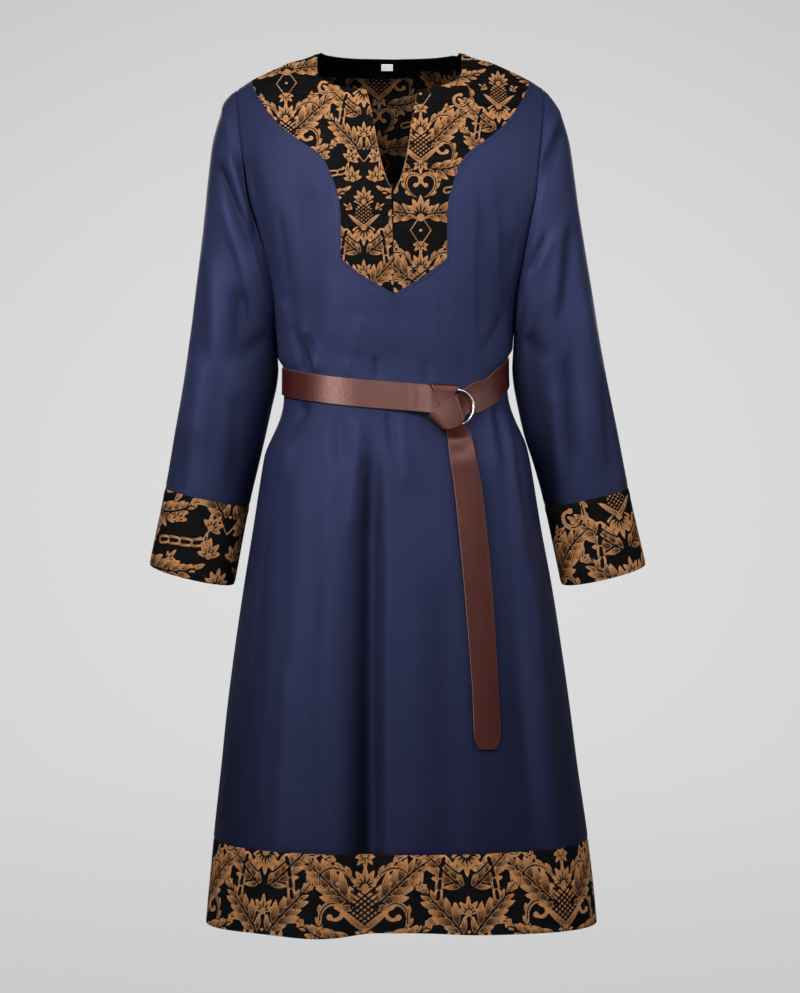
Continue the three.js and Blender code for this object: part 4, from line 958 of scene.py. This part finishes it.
# Brocade: black ribbed ground with slubs across it; the motifs are bronze and gold thread,
# stippled, with a paler outline, and stand a little proud.
brocade = Finish("gold_brocade")
motif, tone = brocade.field("motif"), brocade.field("tone")
slub = brocade.noise(brocade.cloth((28.0, 900.0, 1.0)), detail=3.0)
grain = brocade.noise(brocade.cloth((620.0, 620.0, 1.0)), roughness=0.7)
hatch = brocade.noise(brocade.cloth((900.0, 150.0, 1.0), 0.5))
depth = brocade.add("Math", {0: motif, 1: brocade.sum_of(grain, 0.9, -0.45)}, operation="ADD")
inside = brocade.ramp(depth, 0.1, 0.45, 0.0, 1.0)
rimmed = brocade.ramp(depth, 0.7, 1.4, 1.0, 0.0)
speckle = brocade.sum_of(grain, 1.6, brocade.sum_of(hatch, 1.5, -0.75))
lit = brocade.ramp(brocade.sum_of(tone, 1.1, speckle), 0.75, 2.0, 0.0, 1.0)
gold = brocade.mix(lit, linear(54, 33, 21), linear(190, 134, 86))
fringe = brocade.add("Math", {0: rimmed, 1: grain}, operation="MULTIPLY")
edged = brocade.mix(fringe, gold, linear(198, 146, 98))
ground = brocade.mix(brocade.ramp(slub, 0.42, 0.72, 0.0, 1.0), linear(6, 6, 7), linear(24, 21, 20))
# Painted shade and light: the reverse is darkened, painted shade inside the dress, and lower down
# the colour is painted brighter, up to half again on the hem band.
painted_lower_light = brocade.ramp(brocade.along("Z"), -0.4, -1.05, 1.0, 1.5)
painted_shade_and_light = brocade.sum_of(brocade.field("reverse"), -0.68, painted_lower_light)
relief = brocade.bump(brocade.sum_of(slub, 0.5, inside), 0.5, 0.0004)
brocade.surface({
    "Base Color": brocade.dim(brocade.mix(inside, ground, edged), painted_shade_and_light),
    "Roughness": brocade.ramp(inside, 0.0, 1.0, 0.75, 0.5), "Specular IOR Level": 0.04,
    "Normal": brocade.bump(grain, 0.35, 0.0003, relief)})


# ---- brocade yoke ----
# Two front halves, joined down the middle below the neck slit, and one back piece. Each is
# turned under at the neck and set into the satin, which is topstitched round it.

BROCADE_THICK = 1.6
# Neck, slit and middle seam: distance from the middle and height.
NECK_AND_SLIT = np.array([
    (93.5, 80), (93.5, 3), (93.6, -12), (93.3, -24), (92.2, -29.5), (90, -34), (86.6, -38),
    (82, -41), (72, -45.8), (61, -49.4), (47, -51.8), (33, -53), (29.2, -70), (25, -90),
    (21.3, -115), (17, -140), (13.3, -155), (9, -169), (4.6, -179), (0.0, -187.5), (0.0, -330)])
NECK_SHIFT, SLIT_SHIFT, MIDDLE_SHIFT = -5.5, -2.2, -0.4
NECK_BACK_Z = 4.5
SLIT_TOP_Z = -56.0
YOKE_ROWS, YOKE_COLUMNS = 220, 96
YOKE_TIP_DOWN = 0.9195  # share of the way to the armpit at which the yoke's point lies
YOKE_SLIPS = (("left", -1, (62.0, 150.0)), ("right", 1, (-34.0, 168.0)))  # cut of the pattern


def neck_shift(z):
    """How far the neck, the slit and the middle seam lie to the side, by height."""
    return np.interp(z, [-188, -187, -54, -47], [MIDDLE_SHIFT, -0.1, SLIT_SHIFT, NECK_SHIFT])


def fit_brocade(made, node, flat, area, rests_on):
    """Brocade on a piece, through fit_piece; the flat size, the area and the neighbours that it is
    given are not used.
    """
    fit_piece(made, brocade, "gold_brocade", node, flat=flat, held="hung", area=area,
              rests_on=rests_on)


def pattern_fields(u, v, plain=None, cord=None, scale=1.0):
    """Fields of the woven pattern, twice over for both faces: plain takes the gold away inside,
    cord is the distance to a line of gold thread, and the reverse is marked as 1."""
    depth, tone = woven_pattern(u / scale, v / scale)
    depth = depth * scale
    inner = depth if plain is None else np.where(np.ravel(plain), PLAIN_DEPTH, depth)
    if cord is not None:
        line = 0.75 - np.ravel(cord)
        tone = np.where(line > depth, 1.3, tone)
        depth = np.maximum(depth, line)
    return {"motif": np.concatenate([depth, inner]), "tone": np.concatenate([tone, tone]),
            "reverse": np.repeat([0.0, 1.0], len(depth))}


for half, side, slip in YOKE_SLIPS:
    down = np.linspace(0, YOKE_TIP_DOWN, YOKE_ROWS)
    inner = edge_across("front", NECK_AND_SLIT, side, down, neck_shift)
    outer = edge_across("front", YOKE_EDGE, side, down, yoke_shift)
    outer = side * np.maximum(side * outer, side * inner + 0.0006)
    across = inner[:, None] + (outer - inner)[:, None] * np.linspace(0, 1, YOKE_COLUMNS)
    points = upper_point("front", across, down[:, None])
    normals = grid_normals(points, side > 0)
    x, z = points[..., 0], points[..., 2]
    neck_line = NECK_AND_SLIT[1:-1] * [side, 1]
    from_neck = path_distance(neck_line, x - neck_shift(z), z)
    rolled = 0.35 * bell(from_neck - 3, 2) - 0.5 * bell(from_neck, 1.2)
    points = points + normals * rolled[..., None]
    cord = np.where(z < SLIT_TOP_Z, np.abs(from_neck - 0.5), 9)
    made = make_shell(
        f"yoke_front_{half}_brocade", points, grid_quads(YOKE_ROWS, YOKE_COLUMNS, False, side > 0),
        normals, BROCADE_THICK, cloth_uv(x, z),
        pattern_fields(x * side + slip[0], z + slip[1], cord=cord))
    fit_brocade(made, f"yoke_front_{half}", (0.18, 0.33), 0.028, ["yoke_back", "front_panel"])


# The back yoke runs from the shoulders and the neck down to its rounded edge.
BACK_YOKE_ROWS, BACK_YOKE_COLUMNS, BACK_YOKE_HALF = 124, 226, 179.6
x_flat = np.linspace(-BACK_YOKE_HALF, BACK_YOKE_HALF, BACK_YOKE_COLUMNS)
top = shoulder_height(x_flat)
for _ in range(4):  # the height depends a little on the sway at that height
    top = shoulder_height(x_flat + YOKE_SHIFT - smooth_table(BODY, 4, top))
neck_top = np.interp(np.abs(x_flat - NECK_SHIFT), [0, 86, 93.5, 94],
                     [NECK_BACK_Z, NECK_BACK_Z, 3, 99])
top = np.minimum(top, neck_top)
edge = BACK_YOKE_EDGE[::-1] + np.arange(len(BACK_YOKE_EDGE))[:, None] * [1e-6, 0]
bottom = np.minimum(np.interp(np.abs(x_flat), *edge.T), top - 0.3)
z = top + (bottom - top) * np.linspace(0, 1, BACK_YOKE_ROWS)[:, None]
x = x_flat + yoke_shift(z)
points = cloth_at("back", x, z)
points[..., 1] = np.maximum(points[..., 1], SEAM_GAP / 2)
from_neck = np.where(np.abs(x_flat - NECK_SHIFT) < 93.5, NECK_BACK_Z - z, 99)
plain = from_neck < 20 - 9 * ease(x, 0, 50)  # turned under inside the neck
made = make_shell("yoke_back_brocade", points, grid_quads(BACK_YOKE_ROWS, BACK_YOKE_COLUMNS),
                  grid_normals(points), BROCADE_THICK, cloth_uv(x, z),
                  pattern_fields(x + 20, z + 60, plain))
fit_brocade(made, "yoke_back", (0.40, 0.21), 0.0716, ["back_panel"])


# ---- hem band ----
# A straight band of the brocade, front and back, seamed to the skirt; its hem hangs unevenly.

HEM_BAND_HEIGHT, HEM_LIFT = 108.0, 7.0
HEM_BAND_ROWS, HEM_BAND_COLUMNS, HEM_BAND_MIDDLE_Z = 61, 350, -1060.0
BAND_SCALE = 1.3  # the pattern is this much larger on the hem band and the cuffs


def hem_height(face, across):
    """Height of the hem: shorter in the middle; two swells in front, an even wave behind."""
    lifted = hem_seam_height(across) - HEM_BAND_HEIGHT + HEM_LIFT * np.cos(across * np.pi / 2) ** 2
    if face == "back":
        return lifted - 3 * np.cos(across * 9)
    return lifted - 5 * bell(across + 0.24, 0.16) + 4 * bell(across + 0.02, 0.14)


def even_across(face, z, count):
    """Places across that are evenly spaced along the cloth at a height, and how far each lies
    from the middle."""
    fine = np.linspace(-1, 1, 1200)
    long = run_length(body_surface(face, fine, z, z, False))
    even = np.linspace(0, long[-1], count)
    return np.interp(even, long, fine), even - long[-1] / 2


for face, slip in (("front", (46.0, 1143.0)), ("back", (-20.0, 1150.0))):
    across, wide = even_across(face, HEM_BAND_MIDDLE_Z, HEM_BAND_COLUMNS)
    top = hem_seam_height(across) - 0.05
    z = top + (hem_height(face, across) - top) * np.linspace(0, 1, HEM_BAND_ROWS)[:, None]
    points = clear_of_seam(face, body_surface(face, across, z, z))
    normals = grid_normals(points, face == "front")
    points = points - normals * 0.7 * bell(top - z, 2.5)[..., None]
    wide = np.broadcast_to(wide, z.shape)
    quads = grid_quads(HEM_BAND_ROWS, HEM_BAND_COLUMNS, False, face == "front")
    made = make_shell(f"hem_band_{face}_brocade", points, quads, normals, BROCADE_THICK,
                      cloth_uv(wide, z),
                      pattern_fields(wide + slip[0], z + slip[1], scale=BAND_SCALE))
    fit_brocade(made, f"hem_band_{face}", (0.62, 0.108), 0.066, [f"{face}_panel"])


# ---- cuffs ----
# Deep cuffs of the brocade, one tube each, seamed to the end of the sleeve.

CUFF_END = 11.0  # ring of the sleeve at which the cuff ends
CUFF_ROWS, CUFF_COLUMNS = 56, 190

for arm, slip in (("left", (10.0, 40.0)), ("right", (84.0, 150.0))):
    points, quads, normals, uv, _ = arm_tube(
        arm, CUFF_SEAM + 0.0006, CUFF_END, CUFF_ROWS, CUFF_COLUMNS, False)
    made = make_shell(f"cuff_{arm}_brocade", points, quads, normals, BROCADE_THICK, uv,
                      pattern_fields(*(uv + slip).T, scale=BAND_SCALE))
    fit_brocade(made, f"cuff_{arm}", (0.335, 0.10), 0.032, [f"sleeve_{arm}"])


# ---- belt ----
# One long strap of brown leather. Its end is looped round the ring; it runs behind the waist,
# through the ring, over, behind and down through its own loop, and hangs in front.

LEATHER = 2.0
STRAP_WIDTH = 35.0
BELT_LIFT = 1.7
STRAP_COLUMNS = 9
WAIST_STEP = 9.0  # degrees between crosswise rows round the waist
CURVE_STEPS = 8
EDGE_ROUND = 0.55
# Crosswise rows: top edge x, z, lift, bottom edge x, z, lift; lift is from cloth to mid leather.
LOOP = np.array([
    (34, -446.5, 3.8, 34, -466.5, 3.8), (50, -446.5, 3.8, 50, -466.5, 3.8),
    (62.5, -446.5, 3.8, 62, -466.5, 3.8), (67, -446.5, 5.0, 66, -466.5, 5.0),
    (68.4, -446.5, 7.2, 67.4, -466.5, 7.2), (67, -446.4, 9.3, 66, -466.5, 9.3),
    (62, -446.2, 10.5, 61, -466.5, 10.5), (51, -440, 10.5, 51, -466.5, 10.5),
    (44, -431.5, 10.2, 44, -466.2, 10.2), (30, -429.9, 8.4, 30, -465, 8.4),
    (14, -428.4, 5, 14, -463.5, 5)])
KNOT = np.array([
    (101.7, -428, 1.8, 117, -461, 1.8), (91.6, -434, 2.6, 106.2, -466.3, 4.2),
    (86, -439.5, 2.9, 98, -467.5, 5.0), (81.5, -442.5, 8.5, 91.5, -469.5, 9.8),
    (79, -444, 14.6, 88.5, -474.5, 14.6), (71.1, -449.1, 15.5, 86.5, -480.8, 15.5),
    (57.7, -458.4, 15.3, 78, -485.5, 15.5), (49.8, -464, 14.4, 69.5, -487.6, 14.6),
    (45.2, -468.8, 12.2, 63.6, -487.6, 12.4), (43.2, -471, 7, 61.6, -487.8, 7.2),
    (45, -470.8, 2.2, 63.2, -485.8, 2.4), (46.5, -460, 1.5, 68, -473, 1.5),
    (46.9, -446, 1.5, 75, -452, 1.5), (47.2, -436, 1.6, 80, -438, 1.6),
    (47.4, -431.8, 2.8, 81.4, -433.2, 2.8), (47.8, -429.8, 7.2, 82, -431.2, 7.2),
    (48.2, -431.4, 11.6, 82, -432.8, 11.6), (49.4, -435.6, 12.9, 81, -437.4, 12.9),
    (52, -442.5, 13, 76.5, -444, 13), (57.7, -458, 13, 79.5, -458, 13),
    (62.5, -473, 13, 83, -474, 13), (66.8, -489, 11, 96, -490, 11), (68.4, -499, 8, 99.6, -500, 8),
    (70.6, -523, 4.4, 104, -523, 4.4), (75.2, -552, 3, 110, -552, 3),
    (86.7, -665, 2.6, 122.5, -665, 2.6), (98.7, -816, 2.6, 132, -816, 2.6),
    (102.3, -880, 2.6, 134, -880, 2.6), (108, -892, 2.6, 129, -892, 2.6)])


def belt_front(x):
    """How far forward the belt's ellipse lies at a distance from the middle."""
    full = np.maximum(0, 1 - np.abs(x / BELT_HALF_WIDTH) ** SECTION_POWER)
    return BELT_HALF_DEPTH * full ** (1 / SECTION_POWER)


def knot_rows(table):
    """Crosswise rows of the strap at the knot: in front of the cloth by the given lift."""
    share = np.linspace(0, 1, STRAP_COLUMNS)
    top, bottom = table[:, :3, None], table[:, 3:, None]
    x, z, lift = np.moveaxis(top + (bottom - top) * share, 1, 0)
    ahead = np.maximum(belt_front(x - BELT_SWAY), -cloth_at("front", x, z, False)[..., 1])
    return np.stack([x, -(ahead + lift), z], -1)


def waist_point(turn):
    """Middle of the strap round the waist at a turn from the front, in degrees."""
    angle, power = np.radians(turn), 2 / SECTION_POWER
    return np.stack([
        (BELT_HALF_WIDTH + BELT_LIFT) * signed_power(np.sin(angle), power) + BELT_SWAY,
        -(BELT_HALF_DEPTH + BELT_LIFT) * signed_power(np.cos(angle), power), belt_height(turn)], -1)


turn = np.arange(-WAIST_STEP, -307, -WAIST_STEP)
turn = np.where(turn < -180, turn + 360, turn)
middle = waist_point(turn)
along = unit(waist_point(turn - 2) - waist_point(turn + 2))
out = unit(middle / [BELT_HALF_WIDTH ** 2, BELT_HALF_DEPTH ** 2, 1] * [1, 1, 0])
up = unit(np.cross(along, out))
up *= np.where(up[:, 2:] < 0, -1, 1)
downward = STRAP_WIDTH * np.linspace(0.5, -0.5, STRAP_COLUMNS)[:, None]
waist_rows = middle[:, None] + up[:, None] * downward
stations = np.concatenate([knot_rows(LOOP), waist_rows, knot_rows(KNOT)])


def curve_through(stations, steps):
    """Centripetal Catmull-Rom curve through each column of stations, steps to an interval."""
    first, last = 2 * stations[:1] - stations[1:2], 2 * stations[-1:] - stations[-2:-1]
    p = np.concatenate([first, stations, last])
    gap = np.sqrt(np.linalg.norm(np.diff(p, axis=0), axis=-1, keepdims=True)) + 1e-9
    p0, p1, p2, p3 = p[:-3], p[1:-2], p[2:-1], p[3:]
    g0, g1, g2 = gap[:-2], gap[1:-1], gap[2:]
    m1 = ((p1 - p0) / g0 - (p2 - p0) / (g0 + g1) + (p2 - p1) / g1) * g1
    m2 = ((p2 - p1) / g1 - (p3 - p1) / (g1 + g2) + (p3 - p2) / g2) * g1
    t = np.linspace(0, 1, steps, endpoint=False)[None, :, None, None]
    p1, p2, m1, m2 = (q[:, None] for q in (p1, p2, m1, m2))
    made = (p1 * (1 + 2 * t) * (1 - t) ** 2 + m1 * t * (1 - t) ** 2
            + p2 * t * t * (3 - 2 * t) - m2 * t * t * (1 - t))
    made = made.reshape(-1, *stations.shape[1:])
    return np.concatenate([made, stations[-1:]])


strap_middle = curve_through(stations, CURVE_STEPS)
normals = grid_normals(strap_middle)
rows, columns = strap_middle.shape[:2]
long = run_length(strap_middle[:, columns // 2])
share = np.linspace(-0.5, 0.5, columns)
strap = make_shell("belt_strap_leather", strap_middle + normals * LEATHER / 2,
                   grid_quads(rows, columns), normals, LEATHER,
                   cloth_uv(share * STRAP_WIDTH, long[:, None]),
                   {"edge": np.broadcast_to(np.abs(share) * 2, (rows, columns))})
rounded = strap.modifiers.new("rounded_edges", "BEVEL")
rounded.width, rounded.segments, rounded.limit_method = EDGE_ROUND * MM, 2, "ANGLE"

# Brown leather: a pebbled grain, cloudy dye, half glossy and paler where its edges are rubbed;
# near the knot, up to 34 mm from it, it is paler too, a painted highlight.
leather = Finish("brown_leather")
place = leather.place()
pebble = leather.noise(place, 480.0, 3.0)
pores = leather.noise(place, 420.0, 3.0)
brown = leather.mix(leather.noise(place, 14.0, 3.0), linear(58, 19, 17), linear(74, 29, 26))
rubbed = leather.ramp(leather.field("edge"), 0.94, 1.0, 0.0, 0.4)
from_knot = leather.add("VectorMath", {0: place, 1: (0.068, -0.122, -0.462)}, "Value",
                        operation="DISTANCE")
# Painted highlight: paler leather round the knot.
painted_knot_highlight = leather.ramp(from_knot, 0.034, 0.01, 0.0, 0.5)
rubbed_and_highlight = leather.add("Math", {0: rubbed, 1: painted_knot_highlight}, operation="MAXIMUM")
grain = leather.bump(pebble, 0.4, 0.0005)
leather.surface({
    "Base Color": leather.mix(rubbed_and_highlight, brown, linear(140, 104, 94)),
    "Roughness": leather.ramp(pores, 0.3, 0.7, 0.33, 0.42),
    "Specular IOR Level": 0.65, "Specular Tint": linear(246, 192, 180),
    "Coat Weight": 0.06, "Coat Roughness": 0.3, "Normal": leather.bump(pores, 0.15, 0.0006, grain)})
fit_piece(strap, leather, "brown_leather", "belt_strap", flat=(0.035, 1.37), held="hung",
          rests_on=["front_panel", "back_panel", "belt_ring"])


# ---- belt ring ----
# A welded ring of polished wire that lies between the strap's layers.

RING_RADIUS, RING_WIRE = 22.3, 1.5
RING_X, RING_Z, RING_LIFT, RING_TURN = 80.0, -459.3, 6.5, 15.5
RING_STEPS, WIRE_STEPS = 96, 20
a = np.linspace(0, 2 * np.pi, RING_STEPS, endpoint=False)
b = np.linspace(0, 2 * np.pi, WIRE_STEPS, endpoint=False)[:, None]
reach = RING_RADIUS + RING_WIRE * np.cos(b)
across, ahead, up = reach * np.cos(a), RING_WIRE * np.sin(b), reach * np.sin(a)
cos, sin = math.cos(math.radians(RING_TURN)), math.sin(math.radians(RING_TURN))
ring = np.stack([across * cos - ahead * sin, across * sin + ahead * cos, up], -1)
ring += [RING_X, -(float(belt_front(RING_X - BELT_SWAY)) + RING_LIFT), RING_Z]
quads = grid_quads(WIRE_STEPS + 1, RING_STEPS, True, True) % (WIRE_STEPS * RING_STEPS)
made = make_mesh("belt_ring_metal", ring.reshape(-1, 3), quads, sharp=180)
metal = Finish("bright_ring")
scuff = metal.noise(metal.place(), 70.0)
metal.surface({"Base Color": metal.mix(scuff, (0.7, 0.64, 0.62, 1), (0.82, 0.76, 0.74, 1)),
               "Metallic": 1.0, "Roughness": metal.ramp(scuff, 0.3, 0.7, 0.22, 0.28)})
fit_piece(made, metal, "bright_ring", "belt_ring")


# ---- neck label ----
# A small blank woven label, sewn at its top edge inside the back neck.

LABEL_WIDE, LABEL_TALL, LABEL_MIDDLE_X, LABEL_TOP_Z = 15.5, 6.8, -9.3, 0.9
LABEL_LIFT, LABEL_BULGE, LABEL_THICK = 3.1, 0.25, 0.55
LABEL_ROWS, LABEL_COLUMNS = 13, 25
x = LABEL_MIDDLE_X + LABEL_WIDE * np.linspace(-0.5, 0.5, LABEL_COLUMNS)
down = np.linspace(0, 1, LABEL_ROWS)[:, None]
z = LABEL_TOP_Z - LABEL_TALL * down
points = cloth_at("back", x, z, False)
normals = grid_normals(points, True)
points = points + normals * (LABEL_LIFT + LABEL_BULGE * np.sin(np.pi * down))[..., None]
label = make_shell("neck_label_woven", points, grid_quads(LABEL_ROWS, LABEL_COLUMNS, False, True),
                   normals, LABEL_THICK, cloth_uv(x, z))
white = Finish("label_cloth")
weave = white.noise(white.cloth((2400.0, 1500.0, 1.0)), detail=1.0)
tint = white.mix(weave, linear(236, 236, 232), linear(252, 252, 250))
# The label glows a little: painted light, which keeps it white in the shade inside the neck.
white.surface({"Base Color": tint, "Emission Color": tint, "Emission Strength": 0.55,
               "Roughness": 0.7, "Normal": white.bump(weave, 0.3, 0.0002)})
fit_piece(label, white, "label_cloth", "neck_label", flat=(0.0155, 0.0136), held="folded",
          rests_on=["yoke_back"], area=0.00021)


# ---- floor, light ----
# A plain pale studio: one wide bowl, floor and walls in one, that glows by itself; it glows
# brighter in the middle behind the dress and a little less away from it, a painted pool of light.
# A soft key from the left and above, a weaker fill from the right, two lights that show only as
# gloss, one at the right edge and two weak ones behind.

BOWL_RINGS, BOWL_STEPS = 40, 64
t = np.linspace(0, 1, BOWL_RINGS)[:, None]
radius = 0.0001 + 9.0 * np.minimum(1, t * 1.6) + 2.0 * ease(t, 0.55, 1)
height = -1.5 + 9.0 * ease(t, 0.5, 1.05) ** 1.3
angle = np.linspace(0, 2 * np.pi, BOWL_STEPS, endpoint=False)
bowl = np.stack([radius * np.cos(angle), radius * np.sin(angle), height + np.zeros(BOWL_STEPS)], -1)
studio = make_mesh("studio_floor", bowl.reshape(-1, 3) / MM,
                   grid_quads(BOWL_RINGS, BOWL_STEPS, True), sharp=180)
paper = Finish("studio_paper")
scaled = paper.add("Mapping", {"Vector": paper.place(), "Location": (0.0, -0.396, 0.07),
                               "Scale": (0.115, 0.044, 0.14)})
away = paper.add("VectorMath", {0: scaled, 1: scaled}, "Value", operation="DOT_PRODUCT")
glow = paper.add("Math", {0: paper.sum_of(away, -1.0, 0.72), 1: 0.52}, operation="MAXIMUM")
paper.surface({"Base Color": (0.02, 0.02, 0.02, 1), "Roughness": 1.0, "Specular IOR Level": 0.0,
               "Emission Color": (1, 1, 1, 1), "Emission Strength": glow})
studio.data.materials.append(paper.material)
studio.visible_diffuse = studio.visible_glossy = False


def soft_light(name, place, aim, size, power, spread=180, diffuse=True):
    """Area light at a place, turned to face a point, its beam spread over so many degrees."""
    data = bpy.data.lights.new(name, "AREA")
    data.shape = "RECTANGLE"
    data.size, data.size_y = size
    data.energy = power
    data.spread = math.radians(spread)
    made = bpy.data.objects.new(name, data)
    bpy.context.collection.objects.link(made)
    made.location = place
    made.rotation_mode = "QUATERNION"
    made.rotation_quaternion = (Vector(aim) - Vector(place)).to_track_quat("-Z", "Y")
    made.visible_camera = False
    made.visible_diffuse = diffuse


bpy.context.scene.view_settings.view_transform = "Standard"
soft_light("key_light", (-0.9, -1.55, 0.72), (0.02, 0, -0.1), (1.0, 0.8), 14.0, spread=100)
soft_light("fill_light", (1.2, -1.6, 0.55), (0.05, 0, -0.15), (0.9, 0.8), 4.6, spread=100)
soft_light("left_glint", (-1.8, -2.3, -0.35), (-0.1, -0.1, -0.45), (0.9, 0.7), 48, diffuse=False)
soft_light("front_glint", (0.1, -3.3, -0.15), (0.05, -0.1, -0.45), (0.9, 0.4), 34, diffuse=False)
soft_light("back_left", (-0.8, 2.3, 0.5), (0, 0, -0.4), (1.2, 1.2), 6, spread=110)
soft_light("back_right", (0.7, 2.4, 0.3), (0, 0, -0.4), (1.2, 1.2), 4, spread=110)
soft_light("right_edge", (2.2, -0.6, 0.2), (0.1, 0, -0.4), (0.5, 1.0), 9)
world = bpy.data.worlds.new("studio_air")
bpy.context.scene.world = world
world.use_nodes = True
air = world.node_tree.nodes["Background"].inputs
air["Color"].default_value = (1.0, 1.0, 1.0, 1)
air["Strength"].default_value = 0.09
